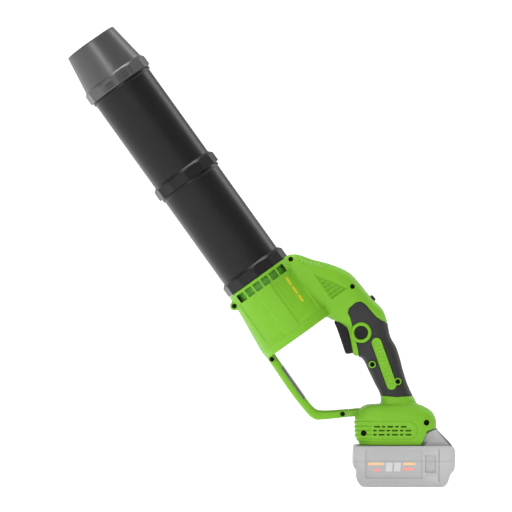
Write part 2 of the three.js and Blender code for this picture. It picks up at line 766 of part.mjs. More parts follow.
add("air_duct", airDuct(), looks.green);
add("intake_grille", intakeGrille(), looks.black);
add("impeller", impeller(), looks.black);
add("motor_mount", motorMount(), looks.black);
add("motor_can", motorCan(), looks.steel);
add("motor_shaft", disc(SHAFT_R, -61, 0, 8), looks.steel);
add("bearing_rear", bearing(-37.6), looks.steel);
add("bearing_front", bearing(-4.6), looks.steel);
add("tail_cone", turned([[0, 3.4], [HUB_R, 3.4], [11, 22], [3, 38], [0, 38.5]], 16), looks.black);

add("trigger", trigger(), looks.black);
add("trigger_pin", crossRod(TRIGGER_PIVOT, PIN_R, -12.6, 12.6, 8), looks.steel);
add("lock_button", crossRod(LOCK_AT, LOCK_R, -17.6, 22.4, 14), looks.black);
add("boost_button", boostButton(), looks.black);

add("main_switch", block(-42, -26, -7.5, 7.5, 156, 168), looks.black);
add("boost_switch", boostSwitch(), looks.black);
add("control_board", block(-42, 20, -25, 25, 73, 74.6), looks.board);
add("heat_sink", heatSink(), looks.alloy);
add("terminal_block", block(-42.6, -37, -16, 16, 53.2, 64.8), looks.black);
add("terminal_blade_left", block(-36.7, -22, -12.4, -11.6, 56, 61.5), looks.copper);
add("terminal_blade_right", block(-36.7, -22, 11.6, 12.4, 56, 61.5), looks.copper);
add("motor_leads", lead(motorLeadRoute(), 1.6, 22), looks.lead);

screws.forEach((screw) => add(`screw_${screw.name}`, screwBody(screw), looks.screw));

add("battery_case", packCase(), looks.pack);
add("battery_lid", packLid(), looks.pack);
add("release_button", releaseButton(), looks.packDark);
cellRows.forEach((z, row) => {
  for (let i = 0; i < 5; i += 1) {
    add(`cell_${row + 1}_${i + 1}`, cellRod(-42 + 19 * i + row * 3, z), looks.cell);
  }
});
add("battery_board", block(-36, 20, -20, 20, 43.2, 44.8), looks.board);

export default blower;
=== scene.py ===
import math

import bmesh
import bpy
import numpy as np
import openvdb
from mathutils import Matrix, Vector
from mathutils.bvhtree import BVHTree


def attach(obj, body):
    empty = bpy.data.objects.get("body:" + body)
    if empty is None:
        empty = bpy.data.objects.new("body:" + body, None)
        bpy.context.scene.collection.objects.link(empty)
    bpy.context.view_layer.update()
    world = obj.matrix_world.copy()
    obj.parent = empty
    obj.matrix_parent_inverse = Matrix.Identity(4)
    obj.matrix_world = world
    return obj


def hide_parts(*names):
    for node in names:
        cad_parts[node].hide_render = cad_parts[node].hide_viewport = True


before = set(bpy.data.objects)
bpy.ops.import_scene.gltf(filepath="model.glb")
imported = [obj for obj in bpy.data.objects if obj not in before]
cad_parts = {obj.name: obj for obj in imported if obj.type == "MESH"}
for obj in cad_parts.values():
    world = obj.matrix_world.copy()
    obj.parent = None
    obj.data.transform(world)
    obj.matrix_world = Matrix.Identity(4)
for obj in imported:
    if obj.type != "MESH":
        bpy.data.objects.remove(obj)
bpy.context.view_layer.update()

# ---------------------------------------------------------------- driving dimensions, in millimetres
MM = 0.001
GAP = 0.3
SEAM = GAP / 2
WALL = 2.6
RUBBER = 1.8

TILT = math.radians(35.62)
COS, SIN = math.cos(TILT), math.sin(TILT)
DUCT_X, DUCT_Z = -169.6, 245.6

TUBE_R = 38.0  # the part of a tube that shows
SPIGOT_R = 36.9  # the end that goes into the next socket
TUBE_WALL = 2.0
TUBE_PITCH = 138.6
SOCKET_R = 37.3
SOCKET_DEPTH = 14.0
SPIGOT_LENGTH = 13.0
COLLAR_R = 42.0
COLLAR_LENGTH = 11.5
COLLAR_CHAMFER = 4.0
BEAD_R = 39.6
BEAD_LENGTH = 3.6
JOINT_GAP = 0.5
NOZZLE_LENGTH = 61.4
NOZZLE_BASE_R = 39.0
NOZZLE_TIP_R = 32.4

BARREL_LENGTH = 84.2
BARREL_PROFILE_S = [-84.2, -74.0, -22.0, 0.0]
BARREL_PROFILE_R = [47.4, 48.4, 42.6, 41.6]

HUB_R = 15.5
SHAFT_R = 1.6

LOCK_AT = (-49.0, 180.3)
LOCK_R = 7.8
RING_R = 12.1
RING_TUBE = 2.0  # half the width of the rounded ring round the lock button
BOOST_AT = (-36.6, 219.2)
BOOST_NORMAL = (0.753, 0.658)
BOOST_R = 4.0
TRIGGER_PIVOT = (-70.0, 199.0)
TRIGGER_HALF = 7.6
SLOT_HALF = 8.2
BADGE_R = 5.85
BADGE_ENDS = ((-30.9, 168.4), (-13.4, 119.0))
BADGE_RIB_PITCH = 4.6

SCREW_BORE = 1.7
SCREW_REACH = 13
BOSS_R = 4.3  # the round bosses that stand through the rubber

PACK_HALF = 37.5
PANEL_DEPTH = 1.0


def duct_point(a, s):
    return (DUCT_X + a * COS - s * SIN, DUCT_Z + a * SIN + s * COS)


def placed(at, turn, axis):
    """Carries a part made at the origin to a place in the side view, turned about one axis."""
    return Matrix.Translation((at[0], 0, at[1])) @ Matrix.Rotation(turn, 4, axis)


DUCT = placed((DUCT_X, DUCT_Z), -TILT, "Y")
BOOST = placed(BOOST_AT, math.atan2(*BOOST_NORMAL), "Y")
ACROSS = -math.pi / 2  # the turn that lays a rod from along Z to along Y


# ---------------------------------------------------------------- meshes as (points, faces)
def merge(*parts):
    points, faces = [], []
    for part_points, part_faces in parts:
        base = len(points)
        points.extend(part_points)
        faces.extend(tuple(i + base for i in f) for f in part_faces)
    return points, faces


def moved(part, matrix):
    points, faces = part
    return [tuple(matrix @ Vector(p)) for p in points], faces


def grid_faces(rows, columns, close_rows=False, close_columns=True):
    faces = []
    for i in range(rows if close_rows else rows - 1):
        for j in range(columns if close_columns else columns - 1):
            i1, j1 = (i + 1) % rows, (j + 1) % columns
            faces.append((i * columns + j, i * columns + j1, i1 * columns + j1, i1 * columns + j))
    return faces


def tube_of_rows(rows):
    """A closed skin through equally long rings of points, with a flat face at each end."""
    columns = len(rows[0])
    points = [p for row in rows for p in row]
    faces = grid_faces(len(rows), columns)
    faces.append(tuple(reversed(range(columns))))
    faces.append(tuple(range(len(points) - columns, len(points))))
    return points, faces


def lathe(profile, segments=96, matrix=DUCT, wave=None):
    """A profile of (radius, s) points turned about the duct axis: a loop, or a line from axis to axis."""
    points, faces = [], []
    on_axis = profile[0][0] == 0
    inner = profile[1:-1] if on_axis else profile
    for r, s in inner:
        for j in range(segments):
            angle = 2 * math.pi * j / segments
            reach = r if wave is None else wave(r, s, angle)
            points.append((reach * math.cos(angle), reach * math.sin(angle), s))
    faces = grid_faces(len(inner), segments, close_rows=not on_axis)
    if on_axis:
        first, last = len(points), len(points) + 1
        points += [(0, 0, profile[0][1]), (0, 0, profile[-1][1])]
        end = (len(inner) - 1) * segments
        for j in range(segments):
            j1 = (j + 1) % segments
            faces.append((first, j1, j))
            faces.append((last, end + j, end + j1))
    return moved((points, faces), matrix)


def outline_rounded(points, radius, steps=5):
    """A closed outline whose corners are rounded with short curves."""
    done = []
    count = len(points)
    for i in range(count):
        before = Vector(points[i - 1])
        here = Vector(points[i])
        after = Vector(points[(i + 1) % count])
        cut0 = min(radius, (before - here).length * 0.45)
        cut1 = min(radius, (after - here).length * 0.45)
        start = here + (before - here).normalized() * cut0
        end = here + (after - here).normalized() * cut1
        for k in range(steps + 1):
            t = k / steps
            done.append(tuple(start * (1 - t) ** 2 + here * 2 * t * (1 - t) + end * t ** 2))
    return done


def outline_inset(points, by):
    """Moves each point of a counter-clockwise outline inwards."""
    count = len(points)
    done = []
    for i in range(count):
        before = Vector(points[i - 1])
        here = Vector(points[i])
        after = Vector(points[(i + 1) % count])
        d0 = (here - before).normalized()
        d1 = (after - here).normalized()
        side = Vector((-d0.y - d1.y, d0.x + d1.x))
        if side.length < 1e-6:
            side = Vector((-d0.y, d0.x))
        side.normalize()
        stretch = min(1.0 / max(0.3, side.dot(Vector((-d0.y, d0.x)))), 1.6)
        done.append(tuple(here + side * by * stretch))
    return done


def counter_clockwise(points):
    area = sum(points[i - 1][0] * points[i][1] - points[i][0] * points[i - 1][1] for i in range(len(points)))
    return list(points) if area > 0 else list(reversed(points))


CAP_MARGIN = 0.5  # a flat strip round each end cap, so the rounded rim shades cleanly


def side_prism(outline, y0, y1, rim=0.0, steps=4):
    """An outline in the side view pulled along Y, with both rims rounded."""
    outline = counter_clockwise(outline)
    turns = [math.pi / 2 * k / steps for k in range(steps, -1, -1)] if rim else [0.0]
    near = [(y0 + rim * (1 - math.cos(t)), rim * (1 - math.sin(t))) for t in reversed(turns)]
    far = [(y0 + y1 - y, inset) for y, inset in reversed(near)]
    if rim:
        near.insert(0, (y0, rim + CAP_MARGIN))
        far.append((y1, rim + CAP_MARGIN))
    rows = []
    for y, inset in near + far:
        ring = outline_inset(outline, inset) if inset else outline
        rows.append([(x, y, z) for x, z in ring])
    return tube_of_rows(rows)


def rounded_prism(points, radius, y0, y1, rim, steps=5):
    """A polygon in the side view pulled along Y, with rounded corners and rounded rims."""
    points = counter_clockwise(points)
    rows = []
    near = [(y0, rim + CAP_MARGIN)]
    for k in range(steps, -1, -1):
        turn = math.pi / 2 * k / steps
        near.append((y0 + rim * (1 - math.sin(turn)), rim * (1 - math.cos(turn))))
    for y, inset in near + [(y0 + y1 - y, inset) for y, inset in reversed(near)]:
        ring = outline_rounded(outline_inset(points, inset), max(0.5, radius - inset), 5)
        rows.append([(x, y, z) for x, z in ring])
    return tube_of_rows(rows)


def circle(centre, r, count=48):
    angles = [2 * math.pi * k / count for k in range(count)]
    return [(centre[0] + r * math.cos(angle), centre[1] + r * math.sin(angle)) for angle in angles]


def pill(start, end, r, count=12):
    """A stadium outline round the segment from start to end."""
    lean = math.atan2(end[1] - start[1], end[0] - start[0])
    points = []
    for k in range(count + 1):
        angle = lean - math.pi / 2 + math.pi * k / count
        points.append((end[0] + r * math.cos(angle), end[1] + r * math.sin(angle)))
    for k in range(count + 1):
        angle = lean + math.pi / 2 + math.pi * k / count
        points.append((start[0] + r * math.cos(angle), start[1] + r * math.sin(angle)))
    return points


def block(x0, x1, y0, y1, z0, z1, bevel=0.0):
    """A box with its twelve edges rounded when bevel is given."""
    bm = bmesh.new()
    bmesh.ops.create_cube(bm, size=1.0)
    for v in bm.verts:
        v.co = ((x0 + x1) / 2 + v.co.x * (x1 - x0), (y0 + y1) / 2 + v.co.y * (y1 - y0),
                (z0 + z1) / 2 + v.co.z * (z1 - z0))
    if bevel:
        bmesh.ops.bevel(bm, geom=bm.edges[:], offset=bevel, segments=3, profile=0.5, affect="EDGES")
    return from_bmesh(bm)


def slab(y0, y1):
    """Everything between two planes that run along the seam."""
    return block(-300, 200, y0, y1, -10, 400)


def both_sides(y0, y1):
    """The same stretch of Y on the seen side and on the far side."""
    return (-y1, -y0), (y0, y1)


def from_bmesh(bm):
    bm.verts.index_update()
    part = ([tuple(v.co) for v in bm.verts], [tuple(v.index for v in f.verts) for f in bm.faces])
    bm.free()
    return part


# ---------------------------------------------------------------- lofts through oval rings
def monotone(t, values, at):
    """Smooth interpolation without overshoot (piecewise cubic with limited slopes)."""
    t, values = np.asarray(t, float), np.asarray(values, float)
    gap = np.diff(t)
    slope = np.diff(values) / gap
    tangent = np.zeros(len(t))
    for i in range(1, len(t) - 1):
        if slope[i - 1] * slope[i] > 0:
            w0, w1 = 2 * gap[i] + gap[i - 1], gap[i] + 2 * gap[i - 1]
            tangent[i] = (w0 + w1) / (w0 / slope[i - 1] + w1 / slope[i])
    tangent[0], tangent[-1] = slope[0], slope[-1]
    i = np.clip(np.searchsorted(t, at, side="right") - 1, 0, len(gap) - 1)
    u = (at - t[i]) / gap[i]
    h00, h10 = 2 * u ** 3 - 3 * u ** 2 + 1, u ** 3 - 2 * u ** 2 + u
    h01, h11 = -2 * u ** 3 + 3 * u ** 2, u ** 3 - u ** 2
    return h00 * values[i] + h10 * gap[i] * tangent[i] + h01 * values[i + 1] + h11 * gap[i] * tangent[i + 1]


def loft(rings, around=72, spacing=1.5):
    """A smooth closed skin through rings of (front point, back point, half width, squareness)."""
    table = np.array([[*f, *b, w, p] for f, b, w, p in rings])
    centre = (table[:, 0:2] + table[:, 2:4]) / 2
    t = np.concatenate([[0], np.cumsum(np.hypot(*np.diff(centre, axis=0).T))])
    at = [t[0]]
    for t0, t1 in zip(t[:-1], t[1:]):
        steps = max(1, math.ceil((t1 - t0) / spacing))
        at += [t0 + (t1 - t0) * (k + 1) / steps for k in range(steps)]
    at = np.array(at)
    rows = np.stack([monotone(t, table[:, i], at) for i in range(6)], axis=1)
    angles = 2 * np.pi * np.arange(around) / around
    skin = []
    for fx, fz, bx, bz, w, p in rows:
        along = np.sign(np.cos(angles)) * np.abs(np.cos(angles)) ** (2 / p)
        out = np.sign(np.sin(angles)) * np.abs(np.sin(angles)) ** (2 / p)
        x = (fx + bx) / 2 + (bx - fx) / 2 * along
        z = (fz + bz) / 2 + (bz - fz) / 2 * along
        skin.append(list(zip(x.tolist(), (w * out).tolist(), z.tolist())))
    return tube_of_rows(skin)


def drawn_in(rings, wall, first=0, last=0, rubber_rows=()):
    done = []
    for i, (f, b, w, p) in enumerate(rings[first:len(rings) - last]):
        inset = wall + (RUBBER + GAP if i + first in rubber_rows else 0)
        f, b = Vector(f), Vector(b)
        unit = (b - f).normalized()
        done.append((tuple(f + unit * inset), tuple(b - unit * inset), w - inset, p))
    return done


HANDLE_RINGS = [
    (duct_point(24, -0.2), duct_point(45.5, -0.2), 13, 3),
    (duct_point(24, -3.2), duct_point(50, -3.2), 16, 3),
    (duct_point(24, -20), duct_point(63.2, -20), 22, 3),
    (duct_point(25, -38), duct_point(77.3, -37), 24.5, 3),
    (duct_point(28, -60), duct_point(89.7, -58.4), 25, 3),
    ((-101, 207), (-50, 237.3), 24.5, 3),
    ((-84, 195.5), (-36.5, 220.6), 22.5, 3),
    ((-72, 190.5), (-22.6, 205.8), 20.6, 3),
    ((-64.5, 183.5), (-18.3, 194), 19.4, 2.5),
    ((-60.6, 172), (-14.7, 176.5), 18.4, 2.5),
    ((-57.2, 155), (-7.5, 163), 17.8, 2.5),
    ((-47.5, 149.6), (-3.6, 151.5), 17.4, 2.5),
    ((-39.5, 134.5), (0.3, 136.5), 17.3, 2.5),
    ((-32.5, 120), (5.2, 121), 17.6, 2.5),
    ((-26.4, 107.4), (11.2, 107.4), 18.8, 2.5),
    ((-25.5, 101.5), (14.6, 101.5), 20.5, 3),
    ((-27, 86), (20, 86), 23, 3),
]
GRIP_ROWS = range(8, 15)
BASE_RINGS = [((x0, z), (x1, z), w, p) for z, x0, x1, w, p in [
    (96.2, -32, 15, 20, 3),
    (95.4, -42, 20, 25, 3.4),
    (92.4, -48.7, 27, 29.5, 3.8),
    (87.5, -52.4, 34.4, 32.4, 4.2),
    (80.5, -56, 38.2, 33.8, 4.6),
    (75.5, -56.9, 39.5, 34, 5),
    (58.5, -56.4, 39.4, 33.8, 5),
    (53, -53.8, 39.4, 33, 5),
    (48.6, -50.2, 39.4, 31.5, 5),
]]
ROOM_FLOOR = 70.8
GUARD_RINGS = [
    (duct_point(-47.4, -84.5), duct_point(-37, -84.5), 9, 3.2),
    (duct_point(-47.3, -158), duct_point(-37.3, -151), 9, 3.2),
    ((-106.6, 79.9), (-104.6, 92.4), 9, 3.2),
    ((-100.4, 77.4), (-98.6, 89), 9, 3.2),
    ((-92, 77.9), (-92, 88.6), 9, 3.2),
    ((-63.9, 80.9), (-63.9, 90.4), 9, 3.2),
]
STUB_RINGS = [((-63.5, 80.9), (-63.5, 90.4), 9, 3.2), ((-48, 82), (-48, 91.6), 9, 3.2)]

RUBBER_OUTLINE = [
    (-51, 216.5), (-55.9, 215.1), (-63.2, 208.8), (-64.5, 203.4), (-61.8, 198.1), (-59.5, 190), (-57, 178.5),
    (-54.1, 167.5), (-51.7, 156.8), (-51.9, 153.4), (-60, 150), (-50, 106.9), (-26.4, 106.6), (-8, 105.1),
    (11.8, 106.1), (30, 106.6), (10, 191.7), (-18.8, 191.7), (-24.5, 194), (-31.8, 198.9), (-37.2, 205.2),
    (-42.4, 211.5), (-47, 215.5),
]
TRIGGER_SLOT = [
    (-92, 148), (-60, 152.4), (-50, 152.4), (-46, 160), (-52, 188), (-59, 205.5), (-70, 206.8), (-79, 203.5),
    (-83, 194),
]
# name: side-view place, depth of the head's seat, head radius
SCREWS = {
    "barrel_top": ((-131.6, 266.4), 8, 2.6),
    "barrel_bottom": ((-197.8, 211.3), 5, 2.6),
    "neck": ((-59.3, 234.4), 14, 2.6),
    "guard_top": ((-153.6, 148.7), 5, 2.6),
    "guard_end": ((-70.7, 84.5), 5, 2.6),
    "grip_front": ((-36, 142.9), 9, 2.6),
    "grip_rear": ((-6, 122.9), 9, 2.6),
    "base_front": ((-46.3, 62.8), 22, 3.1),
    "base_rear": ((27.1, 75.1), 22, 3.1),
}
GUARD_SCREWS = ("guard_top", "guard_end")
GRIP_SCREWS = ("grip_front", "grip_rear")
HOUSING_SCREWS = [name for name in SCREWS if name not in GUARD_SCREWS]


# ---------------------------------------------------------------- fields: signed distances on a grid
class Grid:
    """Grid points lie at whole multiples of the voxel, so that one field can be laid on another."""

    def __init__(self, low, high, voxel):
        self.voxel = voxel
        self.first = [math.floor(v / voxel) for v in low]
        self.count = [math.ceil(h / voxel) - f for h, f in zip(high, self.first)]
        axes = [((np.arange(n) + f) * voxel).astype(np.float32) for n, f in zip(self.count, self.first)]
        self.x, self.y, self.z = axes[0][:, None, None], axes[1][None, :, None], axes[2][None, None, :]
        dx, dz = self.x - DUCT_X, self.z - DUCT_Z
        self.a = dx * COS + dz * SIN
        self.s = dz * COS - dx * SIN

    def to_part(self, part, reach):
        """Signed distance to a closed mesh, true up to `reach` millimetres from its surface."""
        points, faces = part
        triangles = [(f[0], f[k], f[k + 1]) for f in faces for k in range(1, len(f) - 1)]
        transform = openvdb.createLinearTransform(voxelSize=self.voxel)
        grid = openvdb.FloatGrid.createLevelSetFromPolygons(
            np.array(points, np.float32), triangles=np.array(triangles, np.uint32),
            transform=transform, halfWidth=reach / self.voxel)
        out = np.zeros(self.count, np.float32)
        grid.copyToArray(out, ijk=tuple(self.first))
        return out

    def skin(self, field):
        """The surface where the field is zero."""
        limit = 3 * self.voxel
        grid = openvdb.FloatGrid(limit)
        grid.copyFromArray(np.clip(field, -limit, limit), ijk=tuple(self.first))
        grid.transform = openvdb.createLinearTransform(voxelSize=self.voxel)
        points, quads = grid.convertToQuads()
        return points.tolist(), [tuple(q) for q in quads.tolist()]


def soft_min(a, b, k):
    h = np.clip(0.5 + 0.5 * (b - a) / k, 0, 1)
    return b + (a - b) * h - k * h * (1 - h)


def soft_max(a, b, k):
    return -soft_min(-a, -b, k)


def outline_distance(x, z, points):
    """Distance in the side view from a closed outline, negative inside."""
    shape = np.broadcast(x, z).shape
    best = np.full(shape, 1e9, np.float32)
    inside = np.zeros(shape, bool)
    for i in range(len(points)):
        (x0, z0), (x1, z1) = points[i - 1], points[i]
        ex, ez = x1 - x0, z1 - z0
        t = np.clip(((x - x0) * ex + (z - z0) * ez) / (ex * ex + ez * ez), 0, 1)
        best = np.minimum(best, np.hypot(x - x0 - t * ex, z - z0 - t * ez))
        if ez:
            inside ^= ((z0 > z) != (z1 > z)) & (x < x0 + (z - z0) * ex / ez)
    return np.where(inside, -best, best)


def segment_distance(x, z, start, end):
    ex, ez = end[0] - start[0], end[1] - start[1]
    t = np.clip(((x - start[0]) * ex + (z - start[1]) * ez) / (ex * ex + ez * ez), 0, 1)
    return np.hypot(x - start[0] - t * ex, z - start[1] - t * ez)


def rounded_box_distance(u, v, u0, u1, v0, v1, r):
    du = np.abs(u - (u0 + u1) / 2) - (u1 - u0) / 2 + r
    dv = np.abs(v - (v0 + v1) / 2) - (v1 - v0) / 2 + r
    return np.hypot(np.maximum(du, 0), np.maximum(dv, 0)) + np.minimum(np.maximum(du, dv), 0) - r


def ramp(distance, width):
    """1 inside an edge and 0 outside it, with a soft step of the given width."""
    t = np.clip(0.5 - distance / width, 0, 1)
    return t * t * (3 - 2 * t)


def groove(distance, half, depth):
    return depth * np.clip(1 - np.abs(distance) / half, 0, 1)


FLANGE = [(-66.5, 193), (-64.2, 184), (-61.2, 172), (-59, 160), (-57.4, 153.6), (-50, 152), (-44, 190)]
THUMB_PAD = [(-121.4, 269), (-120.8, 263.5), (-118.6, 261.5), (-97.3, 255.6), (-92.2, 255.6), (-86.1, 260.2),
             (-86, 275), (-121.4, 290)]
LOUVRE = [(-106.3, 251), (-63.6, 232.7), (-83.8, 218.6)]
LOUVRE_BARS = [-46.8 - 5.25 * i for i in range(5)]
PANEL_FRONT = -13.5
PANEL_REAR = -70.8
BAND_EDGE = -74.6
PAD_LEAN = math.atan2(260.3 - 273.2, -86.3 + 130.8)


def sunk_panel(a, s, a0, a1, depth, side_ramp):
    """A panel sunk into the barrel. Its rear end rises on a slanting facet to the band at the back."""
    sides = ramp(np.abs(a - (a0 + a1) / 2) - (a1 - a0) / 2, side_ramp)
    front = ramp(s - PANEL_FRONT, 2.2)
    crease = PANEL_REAR + 0.285 * np.maximum(np.abs(a + 3) - 9.5, 0)
    rear = np.clip((s - BAND_EDGE) / (crease - BAND_EDGE), 0, 1)
    return depth * sides * front * rear


def casing_relief(g):
    """How far each point of the side view is sunk below the plain surface."""
    x, z, a, s = g.x, g.z, g.a, g.s
    sunk = sunk_panel(a, s, 6.8, 36.5, 1.5, 2.2) + sunk_panel(a, s, -37, -12.6, 1.3, 2.2)
    sunk = sunk + 0.45 * ramp(rounded_box_distance(a, s, 12, 34, -56, -18, 3.5), 0.8)
    sunk = sunk + np.where(a < 44, groove(s - BAND_EDGE - 0.6, 1.0, 0.8), 0)
    triangle = outline_distance(x, z, LOUVRE)
    sunk = sunk + 2.4 * np.clip(-triangle / 2.6, 0, 1)
    for bar in LOUVRE_BARS:
        sunk = sunk - 2.2 * ramp(np.abs(s - bar) - 1.0, 0.7) * ramp(triangle + 1.9, 1.2)
    pad = outline_distance(x, z, THUMB_PAD)
    along = (x + 86) * math.cos(PAD_LEAN) + (z - 260.3) * math.sin(PAD_LEAN)
    below = (x + 86) * math.sin(PAD_LEAN) - (z - 260.3) * math.cos(PAD_LEAN)
    ribs = ramp(np.abs(below - 3.9) - 2.4, 0.7) * ramp(np.abs(along + 20.5) - 14.2, 0.8)
    sunk = sunk + groove(pad, 1.1, 0.9) * ramp(0.8 - below, 0.8)
    sunk = sunk + ramp(pad, 0.8) * ribs * (0.85 - 0.9 * (0.5 + 0.5 * np.cos(2.166 * along)))
    front = np.clip((-34 - x) / 6, 0, 1)
    frame_line = segment_distance(x, z, (-90, 66.5), (5.9, 66.5)) - 10.7
    depth = 0.8 + 0.6 * front
    width = 0.9 + 0.5 * front
    sunk = sunk + groove(frame_line, width, depth)
    for level in (71.6, 66.5, 61.6):
        sunk = sunk + groove(segment_distance(x, z, (-90, level), (-37.4, level)), width, depth)
    sunk = sunk + groove(segment_distance(x, z, (-90, 52.4), (10, 52.4)), width, depth)
    return sunk.astype(np.float32)


def island_distance(g):
    x, z = g.x, g.z
    ring = np.hypot(x - LOCK_AT[0], z - LOCK_AT[1]) - RING_R
    badge = segment_distance(x, z, *BADGE_ENDS) - BADGE_R
    places = [SCREWS[name][0] for name in GRIP_SCREWS]
    return ring, badge, *[np.hypot(x - at[0], z - at[1]) - BOSS_R for at in places]


def casing_skin():
    """The near half of the casing, from the far left to just past the seam."""
    g = Grid((-208, -50, 46), (62, 3.2, 277), CASING_VOXEL)
    radius = np.sqrt(g.a ** 2 + g.y ** 2)
    wall = radius - np.interp(g.s, BARREL_PROFILE_S, BARREL_PROFILE_R).astype(np.float32)
    body = soft_max(wall, np.abs(g.s + BARREL_LENGTH / 2) - BARREL_LENGTH / 2, 1.0)
    grip = g.to_part(loft(HANDLE_RINGS), 7.5)
    body = soft_min(body, grip, 4.0)
    base = g.to_part(loft(BASE_RINGS), 7.5)
    body = soft_min(body, base, 3.0)
    boss = duct_point(-42.9, -11.5)
    post = soft_max(np.hypot(g.x - boss[0], g.z - boss[1]) - 5, np.abs(g.y) - 9, 1.0)
    body = soft_min(body, post, 2.5)
    flange = soft_max(outline_distance(g.x, g.z, FLANGE), np.abs(g.y) - 12.5, 2.5)
    body = soft_min(body, flange, 2.0)
    body += casing_relief(g)
    islands = island_distance(g)
    pocket = np.maximum(-(grip + RUBBER + GAP), outline_distance(g.x, g.z, RUBBER_OUTLINE) - GAP)
    pocket = np.maximum(pocket, -np.minimum.reduce(islands))
    body = np.maximum(body, -pocket)
    for island, reach, edge in zip(islands, (18.2, 18.3, 17.9, 17.9), (1.0, 1.0, 0.8, 0.8)):
        body = np.minimum(body, soft_max(island, np.abs(g.y) - reach, edge))
    rim = np.hypot(islands[0] + RING_TUBE, np.abs(g.y) - 18.2) - RING_TUBE
    body = np.minimum(body, rim)
    (x0, z0), (x1, z1) = BADGE_ENDS
    length = math.hypot(x1 - x0, z1 - z0)
    along = ((g.x - x0) * (x1 - x0) + (g.z - z0) * (z1 - z0)) / length
    rib = np.abs(np.mod(along + 1.5, BADGE_RIB_PITCH) - BADGE_RIB_PITCH / 2) - 1.0
    rib = np.where((along > 1) & (along < length - 1), rib, 9)
    rib = np.maximum(rib, islands[1] + 2.4)
    badge_floor = np.maximum(np.maximum(islands[1] + 1.3, 17.75 - np.abs(g.y)), -rib)
    body = np.maximum(body, -badge_floor)
    body = np.minimum(body, g.to_part(loft(STUB_RINGS), 3))
    heel = [(20.9, 40), (20.9, 48.5), (28.2, 65.3), (39.4, 68.7), (70, 68.7), (70, 40)]
    body = soft_max(body, -outline_distance(g.x, g.z, heel), 1.2)
    body = np.maximum(body, 48.6 - g.z)
    body = np.maximum(body, g.y - 1.5)
    return g.skin(body)


def rubber_skin():
    g = Grid((-68, -22, 102), (16, 3.2, 219), RUBBER_VOXEL)
    grip = g.to_part(loft(HANDLE_RINGS), 4)
    outline = outline_distance(g.x, g.z, RUBBER_OUTLINE)
    islands = island_distance(g)
    hole = GAP - np.minimum.reduce(islands)
    body = soft_max(grip, outline, 1.0)
    body = soft_max(body, hole, 0.9)
    slot = outline_distance(g.x, g.z, TRIGGER_SLOT)
    slot = np.maximum(slot, np.abs(g.y) - SLOT_HALF)
    body = np.maximum(body, -slot)
    body = np.maximum(body, -(grip + RUBBER))
    body = np.maximum(body, g.y - 1.5)
    return g.skin(body)


CASING_VOXEL = 0.5
RUBBER_VOXEL = 0.45


# ---------------------------------------------------------------- objects
def to_object(name, part):
    points, faces = part
    mesh = bpy.data.meshes.new(name)
    mesh.from_pydata([(x * MM, y * MM, z * MM) for x, y, z in points], [], faces)
    mesh.update()
    obj = bpy.data.objects.new(name, mesh)
    bpy.context.scene.collection.objects.link(obj)
    return obj


def outward(obj):
    """Turns all faces outwards, and splits the large flat ends so that the cuts leave clean faces."""
    bm = bmesh.new()
    bm.from_mesh(obj.data)
    bmesh.ops.triangulate(bm, faces=[f for f in bm.faces if len(f.verts) > 4])
    bmesh.ops.recalc_face_normals(bm, faces=bm.faces[:])
    if bm.calc_volume(signed=True) < 0:
        bmesh.ops.reverse_faces(bm, faces=bm.faces[:])
    bm.to_mesh(obj.data)
    bm.free()
    return obj


def piece(name, part):
    return outward(to_object(name, part))


def smooth(obj, angle=35):
    mesh = obj.data
    mesh.polygons.foreach_set("use_smooth", [True] * len(mesh.polygons))
    mesh.set_sharp_from_angle(angle=math.radians(angle))
    return obj


def boolean(obj, *tools, how="DIFFERENCE"):
    """Cuts (or joins, or keeps what is common with) each tool in turn, and removes the tools."""
    made = []
    for i, tool in enumerate(tools):
        other = tool if isinstance(tool, bpy.types.Object) else piece(f"tool_{i}", tool)
        modifier = obj.modifiers.new(f"cut_{i}", "BOOLEAN")
        modifier.operation = how
        modifier.solver = "MANIFOLD"
        modifier.object = other
        made.append(other)
    graph = bpy.context.evaluated_depsgraph_get()
    result = bpy.data.meshes.new_from_object(obj.evaluated_get(graph))
    obj.modifiers.clear()
    old = obj.data
    obj.data = result
    bpy.data.meshes.remove(old)
    for other in made:
        mesh = other.data
        bpy.data.objects.remove(other)
        bpy.data.meshes.remove(mesh)
    return obj


def mirrored(obj, name):
    """A copy on the other side of the seam."""
    copy = bpy.data.objects.new(name, obj.data.copy())
    copy.data.transform(Matrix.Scale(-1, 4, (0, 1, 0)))
    copy.data.flip_normals()
    bpy.context.scene.collection.objects.link(copy)
    return copy


def settle(obj, body, slot, finish, *nodes, angle=35):
    """Gives a piece its body and its finish, and hides the CAD nodes that it stands for."""
    smooth(obj, angle)
    obj.data.materials.clear()
    obj.data.materials.append(LOOKS[finish])
    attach(obj, body)
    if nodes:
        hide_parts(*nodes)
    return obj


def settle_halves(near, far, slot, finish, stem, angle=35):
    settle(near, "body", slot, finish, stem + "_left", angle=angle)
    settle(far, "body", slot, finish, stem + "_right", angle=angle)


# ---------------------------------------------------------------- materials
ROUGH_SPREAD = 0.08  # how far the fine grain moves the roughness either way


